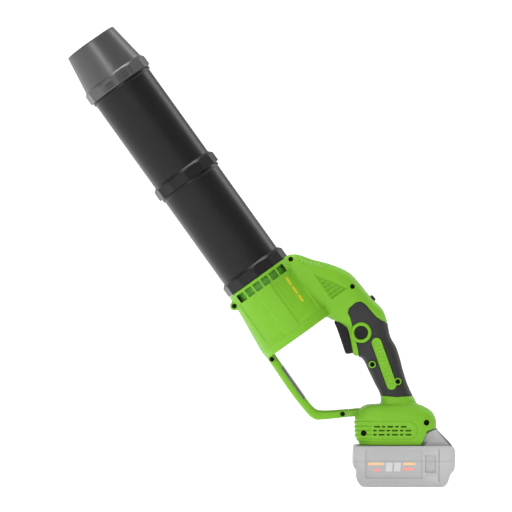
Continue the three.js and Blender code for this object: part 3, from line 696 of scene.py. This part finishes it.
def look(name, colour, rough, *, specular=0.5, mottle=0.05, grain=1400, grain_depth=0.12, metal=0.0,
         worn_and_lit_edge=0.0, worn_and_lit_edge_colour=None, brushed=False):
    """Moulded or machined surface: broad mottling, a fine grain in the relief, and paler convex edges that
    are partly wear and partly a painted highlight.
    """
    material = bpy.data.materials.new(name)
    material.use_nodes = True
    nodes, links = material.node_tree.nodes, material.node_tree.links
    shader = nodes["Principled BSDF"]
    shader.inputs["Metallic"].default_value = metal
    shader.inputs["Specular IOR Level"].default_value = specular
    place = nodes.new("ShaderNodeTexCoord")
    scaled = nodes.new("ShaderNodeMapping")
    links.new(place.outputs["Object"], scaled.inputs["Vector"])
    if brushed:
        scaled.inputs["Scale"].default_value = (1, 1, 0.06)
    broad = nodes.new("ShaderNodeTexNoise")
    broad.inputs["Scale"].default_value = 22
    broad.inputs["Detail"].default_value = 5
    links.new(place.outputs["Object"], broad.inputs["Vector"])
    fine = nodes.new("ShaderNodeTexNoise")
    fine.inputs["Scale"].default_value = grain
    fine.inputs["Detail"].default_value = 2
    links.new(scaled.outputs["Vector"], fine.inputs["Vector"])
    tint = nodes.new("ShaderNodeValToRGB")
    low = [max(0.0, c * (1 - mottle)) for c in colour]
    high = [min(1.0, c * (1 + mottle)) for c in colour]
    tint.color_ramp.elements[0].position = 0.3
    tint.color_ramp.elements[0].color = (*low, 1)
    tint.color_ramp.elements[1].position = 0.7
    tint.color_ramp.elements[1].color = (*high, 1)
    links.new(broad.outputs["Fac"], tint.inputs["Fac"])
    colour_out = tint.outputs["Color"]
    # Pointiness lightens convex edges: partly wear, partly a painted edge highlight.
    if worn_and_lit_edge:
        shape = nodes.new("ShaderNodeNewGeometry")
        edge = nodes.new("ShaderNodeMapRange")
        edge.inputs["From Min"].default_value = 0.52
        edge.inputs["From Max"].default_value = 0.62
        edge.inputs["To Max"].default_value = worn_and_lit_edge
        links.new(shape.outputs["Pointiness"], edge.inputs["Value"])
        paler = nodes.new("ShaderNodeMix")
        paler.data_type = "RGBA"
        paler.inputs["B"].default_value = (*(worn_and_lit_edge_colour or [min(1, c * 1.5 + 0.05) for c in colour]), 1)
        links.new(edge.outputs["Result"], paler.inputs["Factor"])
        links.new(colour_out, paler.inputs["A"])
        colour_out = paler.outputs["Result"]
    links.new(colour_out, shader.inputs["Base Color"])
    spread = nodes.new("ShaderNodeMapRange")
    spread.inputs["From Min"].default_value = 0.3
    spread.inputs["From Max"].default_value = 0.7
    spread.inputs["To Min"].default_value = max(0.02, rough - ROUGH_SPREAD)
    spread.inputs["To Max"].default_value = min(1.0, rough + ROUGH_SPREAD)
    links.new(fine.outputs["Fac"], spread.inputs["Value"])
    links.new(spread.outputs["Result"], shader.inputs["Roughness"])
    bump = nodes.new("ShaderNodeBump")
    bump.inputs["Strength"].default_value = grain_depth
    bump.inputs["Distance"].default_value = 0.0003
    links.new(fine.outputs["Fac"], bump.inputs["Height"])
    links.new(bump.outputs["Normal"], shader.inputs["Normal"])
    return material


# The green and pack finishes get paler convex edges, partly wear and partly a painted highlight.
LOOKS = {
    "green": look("green_plastic", (0.134, 0.345, 0.012), 0.5, specular=0.22, mottle=0.03, worn_and_lit_edge=0.4,
                  worn_and_lit_edge_colour=(0.22, 0.44, 0.05)),
    "green_inner": look("green_inner_plastic", (0.10, 0.33, 0.03), 0.55, specular=0.3, mottle=0.05),
    "tube": look("tube_plastic", (0.0062, 0.0062, 0.0066), 0.34, specular=0.19, mottle=0.12,
                 grain_depth=0.08),
    "nozzle": look("nozzle_plastic", (0.036, 0.036, 0.038), 0.36, specular=0.55, mottle=0.08),
    "rubber": look("grip_rubber", (0.010, 0.010, 0.0104), 0.60, specular=0.36, mottle=0.12, grain=2600,
                   grain_depth=0.35),
    "black": look("black_plastic", (0.003, 0.003, 0.0033), 0.42, specular=0.2, mottle=0.15,
                  grain_depth=0.15),
    "fan": look("fan_plastic", (0.015, 0.015, 0.016), 0.4, specular=0.5, mottle=0.1),
    "label": look("label_film", (0.085, 0.087, 0.095), 0.35, mottle=0.05, grain_depth=0.03),
    "yellow": look("label_yellow", (0.46, 0.42, 0.01), 0.4, specular=0.3, mottle=0.04, grain_depth=0.03),
    "orange": look("print_orange", (0.72, 0.42, 0.20), 0.45, mottle=0.04, grain_depth=0.03),
    "pale": look("print_pale", (0.47, 0.47, 0.475), 0.45, mottle=0.03, grain_depth=0.03),
    "red": look("print_red", (0.70, 0.24, 0.22), 0.45, mottle=0.04, grain_depth=0.03),
    "pack": look("pack_plastic", (0.33, 0.33, 0.335), 0.48, specular=0.4, mottle=0.03, grain_depth=0.18,
                 worn_and_lit_edge=0.25, worn_and_lit_edge_colour=(0.48, 0.48, 0.48)),
    "pack_dark": look("pack_button_plastic", (0.25, 0.25, 0.254), 0.45, mottle=0.06),
    "steel": look("bright_steel", (0.55, 0.56, 0.58), 0.28, metal=1.0, grain=600, brushed=True),
    "screw": look("screw_steel", (0.012, 0.012, 0.013), 0.4, metal=1.0, mottle=0.15),
    "brass": look("blade_brass", (0.75, 0.48, 0.22), 0.3, metal=1.0, grain=800, brushed=True),
    "board": look("circuit_board", (0.02, 0.10, 0.035), 0.5, mottle=0.2),
    "alloy": look("sink_alloy", (0.60, 0.61, 0.63), 0.38, metal=1.0, grain=500, brushed=True),
    "cell": look("cell_sleeve", (0.04, 0.13, 0.33), 0.32, mottle=0.06, grain_depth=0.03),
    "lead": look("lead_sleeve", (0.22, 0.015, 0.015), 0.45, mottle=0.1),
}


# ---------------------------------------------------------------- casing
def cross_rod(at, r, y0, y1, count=40):
    return side_prism(circle(at, r, count), y0, y1)


def stepped_hole(at, r0, y0, y1, r1, y2, count=32):
    """A round hole along Y: radius r0 from y0 to y1, then r1 to y2."""
    rows = []
    for r, y in ((r0, y0), (r0, y1), (r1, y1), (r1, y2)):
        rows.append([(x, y, z) for x, z in circle(at, r, count)])
    return tube_of_rows(rows)


def screw_hole(name):
    at, seat, head = SCREWS[name]
    return stepped_hole(at, head + GAP, -60, -seat, SCREW_BORE, SCREW_REACH)


def along_boost(r, start, end, count=40):
    """A rod along the boost button's normal, measured from the neck's surface."""
    return moved(turned_rod([(r, start), (r, end)], count), BOOST)


def turned_rod(profile, count=40):
    return tube_of_rows([[(x, y, z) for x, y in circle((0, 0), r, count)] for r, z in profile])


def window_tools():
    tools = []
    for i in range(6):
        a = (i - 2.5) * 11.3 - 1.2
        corners = [(a - 4.7, -13.6), (a + 4.7, -13.6), (a + 4.7, -3.2), (a - 4.7, -3.2)]
        rounded = outline_rounded(corners, 1.1, 3)
        tools.append(side_prism([duct_point(*c) for c in rounded], -60, 4))
    return merge(*tools)


def slot_tools():
    long, short, space = 7.3, 4.3, 2.0
    tools = []
    for z, start, pattern in ((70.4, -34.5, "LSLSL"), (65.9, -35.4, "SLSLSL"), (61.1, -35.4, "SLSLSL")):
        x = start
        for kind in pattern:
            length = long if kind == "L" else short
            tools.append(side_prism(pill((x + 1, z), (x + length - 1, z), 1.0, 6), -45, -29.5))
            x += length + space
    return merge(*tools)


def barrel_hollow():
    return lathe([
        (0, -84.3), (44.6, -84.3), (44.6, -84.2), (45.8, -74), (40, -22), (39, -3.2), (SOCKET_R, -3.2),
        (SOCKET_R, 1), (0, 1),
    ], 72)


def without_posts(part):
    posts = [cross_rod(SCREWS[name][0], 4.2, -34, 6, 20) for name in HOUSING_SCREWS]
    posts.append(cross_rod(TRIGGER_PIVOT, 3.8, -30, -SLOT_HALF - 0.4, 20))
    posts.append(cross_rod(LOCK_AT, LOCK_R + 2.1, -19, 19, 32))
    return boolean(piece("hollow", part), *posts)


def thinned(obj, ratio):
    modifier = obj.modifiers.new("thin", "DECIMATE")
    modifier.ratio = ratio
    graph = bpy.context.evaluated_depsgraph_get()
    mesh = bpy.data.meshes.new_from_object(obj.evaluated_get(graph))
    obj.modifiers.clear()
    obj.data = mesh
    return obj


def make_casing():
    shell = thinned(piece("shell_left", casing_skin()), 0.4)
    base_hollow = drawn_in(BASE_RINGS, WALL, 2, 3)
    f, b, w, p = drawn_in([BASE_RINGS[5]], WALL)[0]
    base_hollow.append(((f[0], ROOM_FLOOR), (b[0], ROOM_FLOOR), w, p))
    handle_hollow = drawn_in(HANDLE_RINGS, WALL, 1, 0, GRIP_ROWS)
    boolean(
        shell,
        without_posts(loft(handle_hollow, 48, 4)),
        without_posts(loft(base_hollow, 48, 4)),
        barrel_hollow(),
        block(-37, 12, -31.2, -28.6, 58.4, 76),
        window_tools(),
        slot_tools(),
        block(-43, 60, -27, 27, 52.8, 65.2),
        block(-43, 60, -23, 23, 47, 54),
        side_prism(outline_rounded(TRIGGER_SLOT, 3), -SLOT_HALF, SLOT_HALF, 1.0),
        cross_rod(TRIGGER_PIVOT, 1.8, -13, 13),
        cross_rod(LOCK_AT, LOCK_R + GAP, -40, 40, 64),
        along_boost(BOOST_R + GAP, -12, 10),
        slab(-SEAM, 50),
    )
    far = mirrored(shell, "shell_right")
    holes = [screw_hole(name) for name in HOUSING_SCREWS]
    boolean(shell, merge(*holes))
    settle_halves(shell, far, "green_plastic", "green", "housing")
    return shell


def make_rubber():
    near = thinned(piece("overmould_left", rubber_skin()), 0.35)
    boolean(near, slab(-SEAM, 50))
    far = mirrored(near, "overmould_right")
    settle_halves(near, far, "grip_rubber", "rubber", "grip_rubber", 40)


def make_guard():
    near = piece("guard_bar_left", loft(GUARD_RINGS, 64, 3))
    boolean(near, *[screw_hole(name) for name in GUARD_SCREWS])
    far = bpy.data.objects.new("guard_bar_right", near.data.copy())
    bpy.context.scene.collection.objects.link(far)
    boolean(near, slab(-SEAM, 50))
    boolean(far, slab(-50, SEAM))
    settle_halves(near, far, "green_plastic", "green", "guard", 30)


# ---------------------------------------------------------------- tubes and nozzle
def collar_wave(s0, top_r, notched=False):
    """Radius of a 12-sided collar cut back by a cone, with short grip grooves on two facets when notched."""
    flat = COLLAR_R * math.cos(math.pi / 12)

    def wave(r, s, angle):
        if s > s0 + COLLAR_LENGTH + COLLAR_CHAMFER or s < s0 - 0.01 or r < COLLAR_R - 0.5:
            return r
        turn = angle % (math.pi / 6) - math.pi / 12
        side = flat / math.cos(turn)
        cone = COLLAR_R + 1 + (top_r - COLLAR_R - 1) * (s - s0 - COLLAR_LENGTH + 1) / (COLLAR_CHAMFER + 1)
        reach = float(soft_min(np.float64(side), np.float64(cone), 0.6))
        start = min(1.0, (s - s0 + 0.1) / 0.8)
        reach -= 0.7 * (1 - math.sqrt(max(0.0, 1 - (1 - start) ** 2)))
        across = abs(COLLAR_R * math.cos(angle))
        if notched and 4 < across < 16.5:
            nearest = min(abs(s - s0 - level) for level in (3.0, 5.5, 8.0))
            reach -= 0.8 * max(0.0, 1 - (nearest / 0.8) ** 2)
        return reach
    return wave


def tube_parts(s0, body, collar_top, bore, notched=False):
    top = s0 + COLLAR_LENGTH + COLLAR_CHAMFER
    steps = 44
    rows = [(COLLAR_R, s0 + (top - s0) * k / steps) for k in range(steps + 1)]
    profile = rows + body + bore
    return lathe(profile, 144, wave=collar_wave(s0, collar_top, notched))


def rounded_lip(r_out, r_in, s, edge=0.5):
    """The end of a tube wall, its two edges rounded."""
    return [(r_out, s - edge), (r_out - edge * 0.3, s - edge * 0.3), (r_out - edge, s),
            (r_in + edge, s), (r_in + edge * 0.3, s - edge * 0.3), (r_in, s - edge)]


def socket_rows(s0):
    """The socket that takes the spigot below, with a small lead-in at its mouth."""
    return [(SOCKET_R, s0 + SOCKET_DEPTH), (SOCKET_R, s0 + 0.4), (SOCKET_R + 0.4, s0)]


def make_tube(name, s0):
    stop = s0 + TUBE_PITCH - JOINT_GAP
    end = s0 + TUBE_PITCH + SPIGOT_LENGTH
    body = [(TUBE_R, s0 + COLLAR_LENGTH + COLLAR_CHAMFER + 1)]
    body += [(TUBE_R, s0 + 20 + 16 * k) for k in range(8)]
    body += [
        (TUBE_R, stop - BEAD_LENGTH - 1.0), (TUBE_R + 0.3, stop - BEAD_LENGTH - 0.5),
        (BEAD_R - 0.5, stop - BEAD_LENGTH - 0.2), (BEAD_R, stop - BEAD_LENGTH + 0.4),
        (BEAD_R, stop - 0.6), (BEAD_R - 0.2, stop - 0.15), (BEAD_R - 0.7, stop), (SPIGOT_R, stop),
    ]
    inner = SPIGOT_R - TUBE_WALL
    body += rounded_lip(SPIGOT_R, inner, end)
    bore = [(inner, s0 + 100), (inner, s0 + SOCKET_DEPTH)] + socket_rows(s0)
    obj = piece(name + "_shell", tube_parts(s0, body, TUBE_R, bore))
    return settle(obj, name, "tube_plastic", "tube", name, angle=30)


def make_nozzle(s0):
    top = s0 + NOZZLE_LENGTH
    body = []
    for k in range(20):
        s = s0 + 16 + (NOZZLE_LENGTH - 16.8) * k / 19
        t = (s - s0 - 16) / (NOZZLE_LENGTH - 16)
        body.append((NOZZLE_BASE_R + (NOZZLE_TIP_R - NOZZLE_BASE_R) * t, s))
    inner = NOZZLE_TIP_R - TUBE_WALL
    body += [(NOZZLE_TIP_R - 0.2, top - 0.3), (NOZZLE_TIP_R - 0.6, top), (inner + 0.5, top),
             (inner, top - 0.5)]
    bore = [(SPIGOT_R - TUBE_WALL, s0 + SOCKET_DEPTH)] + socket_rows(s0)
    obj = piece("nozzle_shell", tube_parts(s0, body, NOZZLE_BASE_R, bore, notched=True))
    return settle(obj, "nozzle", "nozzle_plastic", "nozzle", "nozzle", angle=30)


# ---------------------------------------------------------------- hand controls
TRIGGER_OUTLINE = [
    (-80.8, 192.6), (-77.4, 185.5), (-72.7, 171.9), (-66.9, 154.6), (-57.5, 156.2), (-53, 158), (-56, 167),
    (-62, 172.5), (-62.8, 181), (-64.6, 190), (-64.6, 199.5), (-66.6, 203), (-70, 204.6), (-73.6, 203),
    (-75.6, 198.5),
]


def make_trigger():
    outline = outline_rounded(TRIGGER_OUTLINE, 3, 4)
    obj = piece("trigger_lever", side_prism(outline, -TRIGGER_HALF, TRIGGER_HALF, 1.8, 6))
    boolean(obj, cross_rod(TRIGGER_PIVOT, 1.8, -20, 20))
    settle(obj, "trigger", "black_plastic", "black", "trigger", angle=35)


def make_lock_button():
    wide = LOCK_R + 0.24
    profile = [(wide - 0.9, -17.6), (wide - 0.25, -17.35), (wide, -16.7), (wide, 21.5),
               (wide - 0.25, 22.15), (wide - 0.9, 22.4)]
    rod = turned_rod([(3.2, -17.0), (5.6, -17.4)] + profile + [(5.6, 22.2), (3.2, 21.8)], 64)
    obj = piece("lock_bolt", moved(rod, placed(LOCK_AT, ACROSS, "X")))
    settle(obj, "lock_button", "black_plastic", "black", "lock_button")


def make_boost_button():
    profile = [(2.2, -9.5), (2.2, -5.0), (BOOST_R, -5.0), (BOOST_R, 2.6), (BOOST_R - 0.25, 3.3),
               (BOOST_R - 1, 3.9), (BOOST_R - 2, 4.15), (0.6, 4.2)]
    obj = piece("boost_cap", moved(turned_rod(profile, 48), BOOST))
    settle(obj, "boost_button", "black_plastic", "black", "boost_button", angle=50)


def make_screws():
    """Pan heads with a round rim and a six-lobed socket."""
    for name, (at, seat, head) in SCREWS.items():
        profile = [(1.4, 11), (1.4, -seat - 0.9), (head, -seat - GAP), (head, -seat - 1.7),
                   (head - 0.35, -seat - 2.3), (head - 1.0, -seat - 2.6)]
        obj = piece("fastener_" + name, moved(turned_rod(profile, 32), placed(at, ACROSS, "X")))
        lobes = []
        for k in range(24):
            angle = 2 * math.pi * k / 24
            r = 1.25 + 0.2 * math.cos(6 * angle)
            lobes.append((at[0] + r * math.cos(angle), at[1] + r * math.sin(angle)))
        boolean(obj, side_prism(lobes, -seat - 4, -seat - 1.4))
        settle(obj, "body", "screw_steel", "screw", "screw_" + name, angle=30)


# ---------------------------------------------------------------- battery
PACK_OUTLINE = [
    (-46, 0), (46.6, 0), (51.6, 3.4), (55.4, 15), (60.2, 19.8), (60.7, 30.35), (60.7, 44.6), (57.2, 48.1),
    (-58.2, 48.1), (-58.9, 30.35), (-58.7, 22.7), (-54.9, 19.8), (-54.9, 7.8), (-51, 2.3),
]
PARTING_Z = 30.35  # between the case and the lid
PARTING_HALF = 0.1

SLOPE_TOP = (42.8, 64.6)
SLOPE_FOOT = (58.0, 48.0)
SLOPE_LEAN = math.atan2(SLOPE_TOP[1] - SLOPE_FOOT[1], SLOPE_FOOT[0] - SLOPE_TOP[0])
SLOPE = placed(SLOPE_TOP, SLOPE_LEAN, "Y")


def box_outline(x0, x1, z0, z1, r):
    return outline_rounded([(x0, z0), (x1, z0), (x1, z1), (x0, z1)], r)


def side_panels(obj, outlines):
    """Sinks shallow panels, [outline, depth], into both flat sides of the pack."""
    for outline, depth in outlines:
        for y0, y1 in both_sides(PACK_HALF - depth, PACK_HALF + 3):
            boolean(obj, side_prism(outline, y0, y1))


def make_battery():
    half = PACK_HALF
    case = piece("pack_case", rounded_prism(PACK_OUTLINE, 4, -half, half, 2.6))
    boolean(case, block(-80, 80, -50, 50, PARTING_Z - PARTING_HALF, 60))
    boolean(case, block(-51, 47.6, -half + 2.2, half - 2.2, 5, 31))
    panels = [
        (box_outline(-44.6, 22.4, 10.2, 43.2, 2.5), PANEL_DEPTH),
        (outline_rounded([(25.3, 17), (38, 17), (38, 35.4), (33, 37.4), (25.3, 37.4)], 1.2), 1.6),
        (box_outline(41.0, 42.2, 6, 43.6, 0.4), 0.9),
    ]
    side_panels(case, panels)
    settle(case, "battery", "pack_plastic", "pack", "battery_case", angle=30)

    lid = piece("pack_lid", rounded_prism(PACK_OUTLINE, 4, -half, half, 2.6))
    boolean(lid, block(-80, 80, -50, 50, -10, PARTING_Z + PARTING_HALF))
    side_panels(lid, panels)
    boolean(
        lid,
        piece("lid_neck", block(-36, 42, -22, 22, 46.5, 54.5)),
        piece("lid_rails", block(-36, 30, -26, 26, 53.2, 62.4, 0.6)),
        piece("lid_hump", side_prism(outline_rounded(
            [(21.6, 46.6), (21.6, 48.4), (29, 64.6), (40, 68), SLOPE_TOP, SLOPE_FOOT, (58, 46.6)], 1.5),
            -26, 26, 1.6, 4)),
        how="UNION")
    room = block(-53, 47.6, -half + 2.2, half - 2.2, 29, 45.6)
    sides = [block(-15, 25, y0, y1, 45, 60) for y0, y1 in both_sides(8, 19.6)]
    slots = [block(-37, -18, y - 1.4, y + 1.4, 54.5, 70) for y in (-12, 12)]
    well = moved(block(4.7, 17.8, -14.3, 14.3, -8.4, 3), SLOPE)
    boolean(lid, room, block(-33.5, 18, -9.6, 9.6, 45, 60), *sides, *slots, well)
    settle(lid, "battery", "pack_plastic", "pack", "battery_lid", angle=30)

    button = piece("release_key", moved(block(5, 17.5, -14, 14, -3.2, 0.4, 1.0), SLOPE))
    boolean(button, *[moved(block(x, x + 1.1, -11, 11, -0.2, 2), SLOPE) for x in (7.4, 9.8, 12.2, 14.6)])
    settle(button, "release_button", "pack_button", "pack_dark", "release_button", angle=30)

    prints = [
        ("mark_orange_a", "orange", (-42, -23, 25.6, 28.6)),
        ("mark_block_a", "pale", (-21, -13.4, 18.4, 28.6)),
        ("mark_block_b", "pale", (-11.4, -3.8, 18.4, 28.6)),
        ("mark_orange_b", "orange", (-0.6, 13.6, 25.6, 28.6)),
        ("mark_red_a", "red", (-1.4, 12, 19.6, 22.8)),
        ("mark_red_b", "red", (-35.4, -27.4, 18.4, 21.2)),
    ]
    for name, look_name, (x0, x1, z0, z1) in prints:
        outline = outline_rounded([(x0, z0), (x1, z0), (x1 + 1, z1), (x0 + 1, z1)], 0.5, 2)
        floor = half - PANEL_DEPTH
        plates = [side_prism(outline, y0, y1) for y0, y1 in both_sides(floor - 0.2, floor + 0.12)]
        obj = piece(name, merge(*plates))
        settle(obj, "battery", "pack_plastic", look_name)


# ---------------------------------------------------------------- air path
def make_air_duct():
    out_r, bore_r, flange_r = 34.8, 33, 41.5
    inner = SPIGOT_R - TUBE_WALL
    profile = [
        (40, -80.5), (flange_r - 0.4, -80.5), (flange_r, -80.1), (flange_r, -78.5), (out_r, -70),
        (out_r, -5.5), (SPIGOT_R, -4.2), (SPIGOT_R, SPIGOT_LENGTH - 0.4), (SPIGOT_R - 0.4, SPIGOT_LENGTH),
        (inner + 0.4, SPIGOT_LENGTH), (inner, SPIGOT_LENGTH - 0.4), (bore_r, -6), (bore_r, -68), (36, -73.5),
    ]
    obj = piece("duct_liner", lathe(profile, 96))
    settle(obj, "body", "green_plastic", "green_inner", "air_duct", angle=30)


def ring_bar(r_in, r_out, s0, s1, segments=96, edge=0.35):
    return lathe([(r_in, s0 + edge), (r_in + edge, s0), (r_out - edge, s0), (r_out, s0 + edge),
                  (r_out, s1 - edge), (r_out - edge, s1), (r_in + edge, s1), (r_in, s1 - edge)], segments)


def make_grille():
    s0, s1 = -83.6, -81.0
    obj = piece("grille_guard", ring_bar(41.4, 44, s0, s1))
    parts = [ring_bar(r - 0.8, r + 0.8, s0, s1 - 0.3) for r in (14, 21, 28, 35)]
    parts.append(lathe([(0, s0), (6.4, s0), (7, s0 + 0.6), (7, s1), (0, s1)], 48))
    for i in range(4):
        turn = DUCT @ Matrix.Rotation(math.pi / 4 * i, 4, "Z")
        parts.append(moved(block(-42.5, 42.5, -0.9, 0.9, s0 + 0.1, s1 - 0.1), turn))
    boolean(obj, *parts, how="UNION")
    settle(obj, "body", "black_plastic", "black", "intake_grille", angle=30)


def blade(r_in, r_out, chord, pitch_in, pitch_out, camber, thick):
    """A twisted, cambered blade along local X, closed all round."""
    across, along, skin = 10, 8, []
    for k in range(along + 1):
        t = k / along
        r = r_in + (r_out - r_in) * t
        pitch = pitch_in + (pitch_out - pitch_in) * t
        cos, sin = math.cos(pitch), math.sin(pitch)
        ring = []
        for i in list(range(across + 1)) + list(range(across - 1, 0, -1)):
            near = len(ring) <= across
            u = i / across - 0.5
            bow = camber * (1 - 4 * u * u)
            edge = math.sqrt(max(0.04, 1 - 4 * u * u))
            y = bow + (thick / 2 if near else -thick / 2) * edge
            z = u * chord * (1 - 0.12 * t)
            ring.append((r, y * cos - z * sin, y * sin + z * cos))
        skin.append(ring)
    return tube_of_rows(skin)


def make_impeller():
    hub = [
        (SHAFT_R + GAP, -66.6), (5, -66.9), (9, -66), (12.8, -63.4), (HUB_R, -60), (HUB_R, -46.3),
        (HUB_R - 0.3, -46), (13.5, -46), (13.5, -57), (SHAFT_R + GAP, -57),
    ]
    obj = piece("fan_wheel", lathe(hub, 64))
    vane = blade(r_in=14.2, r_out=31.4, chord=16, pitch_in=math.radians(48), pitch_out=math.radians(34),
                 camber=1.2, thick=1.7)
    blades = []
    for k in range(9):
        place = DUCT @ Matrix.Rotation(2 * math.pi * k / 9, 4, "Z") @ Matrix.Translation((0, 0, -54))
        blades.append(moved(vane, place))
    boolean(obj, *blades, how="UNION")
    settle(obj, "rotor", "black_plastic", "fan", "impeller", angle=35)


# ---------------------------------------------------------------- labels
def ring_at(rings, s_top, s_low, steps):
    (f0, b0, w, p), (f1, b1, _, _) = rings[0], rings[1]
    top, low = -84.5, -154.5
    rows = []
    for k in range(steps + 1):
        s = s_top + (s_low - s_top) * k / steps
        t = (s - top) / (low - top)
        f = Vector(f0) * (1 - t) + Vector(f1) * t
        b = Vector(b0) * (1 - t) + Vector(b1) * t
        rows.append((f, b, w, p))
    return rows


def make_guard_label():
    """A film wrapped round the bar's inner face, proud of it by its own thickness."""
    thick, turn, count = 0.25, 1.42, 64
    outer, inner = [], []
    for f, b, w, p in ring_at(GUARD_RINGS, -103, -150, 24):
        centre, half = (f + b) / 2, (b - f) / 2
        for store, grow in ((outer, thick), (inner, -0.1)):
            row = []
            for k in range(count + 1):
                angle = -turn + 2 * turn * k / count
                along = abs(math.cos(angle)) ** (2 / p)
                out = math.copysign(abs(math.sin(angle)) ** (2 / p), math.sin(angle))
                reach = centre + half * along * (1 + grow / half.length)
                row.append((reach.x, out * (w + grow), reach.y))
            store.append(row)
    rows = [a + list(reversed(b)) for a, b in zip(outer, inner)]
    obj = piece("guard_film", tube_of_rows(rows))
    settle(obj, "body", "label_film", "label", "guard_label", angle=40)


def on_surface(tree, x, z, side):
    hit = tree.ray_cast(Vector((x * MM, side * 0.2, z * MM)), Vector((0, -side, 0)))
    return hit[0].y / MM


def make_barrel_marks(casing_left):
    """Plain yellow bars, one after another along the duct, where a label would be."""
    tree = BVHTree.FromObject(casing_left, bpy.context.evaluated_depsgraph_get())
    plates = []
    for s0, s1 in ((-19.5, -30), (-32, -42.5), (-44.5, -53.5)):
        steps, across = 14, 4
        outer, inner = [], []
        for i in range(steps + 1):
            s = s0 + (s1 - s0) * i / steps
            row = []
            for j in range(across + 1):
                x, z = duct_point(24.7 + 2.6 * j / across, s)
                row.append((x, on_surface(tree, x, z, -1), z))
            outer.append([(x, y - 0.12, z) for x, y, z in row])
            inner.append([(x, y + 0.15, z) for x, y, z in row])
        plates.append(tube_of_rows([a + list(reversed(b)) for a, b in zip(outer, inner)]))
    near = piece("barrel_bars_left", merge(*plates))
    far = mirrored(near, "barrel_bars_right")
    for obj in (near, far):
        settle(obj, "body", "label_film", "yellow", angle=40)


# ---------------------------------------------------------------- making
CAD_LOOKS = {
    "motor_can": "steel", "motor_shaft": "steel", "bearing_rear": "steel", "bearing_front": "steel",
    "trigger_pin": "steel", "control_board": "board", "battery_board": "board", "heat_sink": "alloy",
    "terminal_blade_left": "brass", "terminal_blade_right": "brass", "motor_leads": "lead",
    **{f"cell_{row}_{k}": "cell" for row in (1, 2) for k in range(1, 6)},
}


def dress_cad_nodes():
    """The inner parts keep their CAD shapes, so they only need a finish each."""
    for name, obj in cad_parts.items():
        if obj.hide_render:
            continue
        obj.data.materials.clear()
        obj.data.materials.append(LOOKS[CAD_LOOKS.get(name, "black")])


casing = make_casing()
make_rubber()
make_guard()
make_guard_label()
make_barrel_marks(casing)
make_tube("lower_tube", JOINT_GAP)
make_tube("upper_tube", JOINT_GAP + TUBE_PITCH)
make_nozzle(JOINT_GAP + 2 * TUBE_PITCH)
make_air_duct()
make_grille()
make_impeller()
make_trigger()
make_lock_button()
make_boost_button()
make_screws()
make_battery()
dress_cad_nodes()


# ---------------------------------------------------------------- floor, light and camera
FLOOR_R = 10.0  # metres, as are all lengths below
FLOOR_DROP = 0.0002
PAPER_GLOW = 0.5


def make_stage():
    """A wide pale floor that curves up into a low wall all round, well beyond the camera."""
    bend, wall_top, around = 1.5, 3.0, 96
    profile = [(FLOOR_R * k / 8, 0.0) for k in range(1, 9)]
    for k in range(1, 13):
        turn = math.pi / 2 * k / 12
        profile.append((FLOOR_R + bend * math.sin(turn), bend * (1 - math.cos(turn))))
    profile.append((FLOOR_R + bend, wall_top))
    points, faces = [(0, 0, -FLOOR_DROP)], []
    for r, z in profile:
        for j in range(around):
            angle = 2 * math.pi * j / around
            points.append((r * math.cos(angle), r * math.sin(angle), z - FLOOR_DROP))
    for j in range(around):
        faces.append((0, 1 + j, 1 + (j + 1) % around))
    for row in range(len(profile) - 1):
        for j in range(around):
            near, far = 1 + row * around, 1 + (row + 1) * around
            after = (j + 1) % around
            faces.append((near + j, far + j, far + after, near + after))
    mesh = bpy.data.meshes.new("backdrop")
    mesh.from_pydata(points, [], faces)
    mesh.update()
    floor = bpy.data.objects.new("backdrop", mesh)
    bpy.context.scene.collection.objects.link(floor)
    paper = look("backdrop_paper", (0.93, 0.93, 0.93), 0.8, mottle=0.005, grain=300, grain_depth=0.02)
    shader = paper.node_tree.nodes["Principled BSDF"]
    shader.inputs["Emission Color"].default_value = (1, 1, 1, 1)
    shader.inputs["Emission Strength"].default_value = PAPER_GLOW
    mesh.materials.append(paper)
    for polygon in mesh.polygons:
        polygon.use_smooth = True


def area_light(name, place, target, size, power):
    data = bpy.data.lights.new(name, "AREA")
    data.shape = "RECTANGLE"
    data.size, data.size_y = size
    data.energy = power
    obj = bpy.data.objects.new(name, data)
    obj.location = place
    obj.rotation_mode = "QUATERNION"
    obj.rotation_quaternion = (Vector(target) - Vector(place)).to_track_quat("-Z", "Y")
    bpy.context.scene.collection.objects.link(obj)


def make_light():
    world = bpy.data.worlds.new("studio")
    bpy.context.scene.world = world
    world.use_nodes = True
    background = world.node_tree.nodes["Background"]
    background.inputs["Color"].default_value = (1, 1, 1, 1)
    background.inputs["Strength"].default_value = 0.5
    area_light("key_light", (-1.0, -2.7, 1.4), (-0.2, 0, 0.3), (0.7, 0.7), 24)
    area_light("top_light", (-1.1, 0.1, 2.4), (-0.2, 0, 0.25), (1.3, 1.3), 60)
    area_light("rim_light", (1.3, 1.0, 1.5), (-0.15, 0, 0.25), (0.7, 1.6), 17)
    area_light("back_light", (-0.8, 2.8, 1.5), (-0.15, 0, 0.25), (1.0, 1.0), 8)
    bpy.context.scene.view_settings.view_transform = "Standard"


CAMERA_AWAY = 6.0
FRAME_WIDTH = 0.6  # what the picture spans just in front of the seam plane


def make_camera():
    data = bpy.data.cameras.new("camera")
    data.sensor_width = 36
    data.lens = data.sensor_width * (CAMERA_AWAY - 0.02) / FRAME_WIDTH
    obj = bpy.data.objects.new("camera", data)
    obj.location = (-0.1723, -CAMERA_AWAY, 0.2701)
    obj.rotation_euler = (math.pi / 2, 0, 0)
    bpy.context.scene.collection.objects.link(obj)
    bpy.context.scene.camera = obj


make_stage()
make_light()
make_camera()
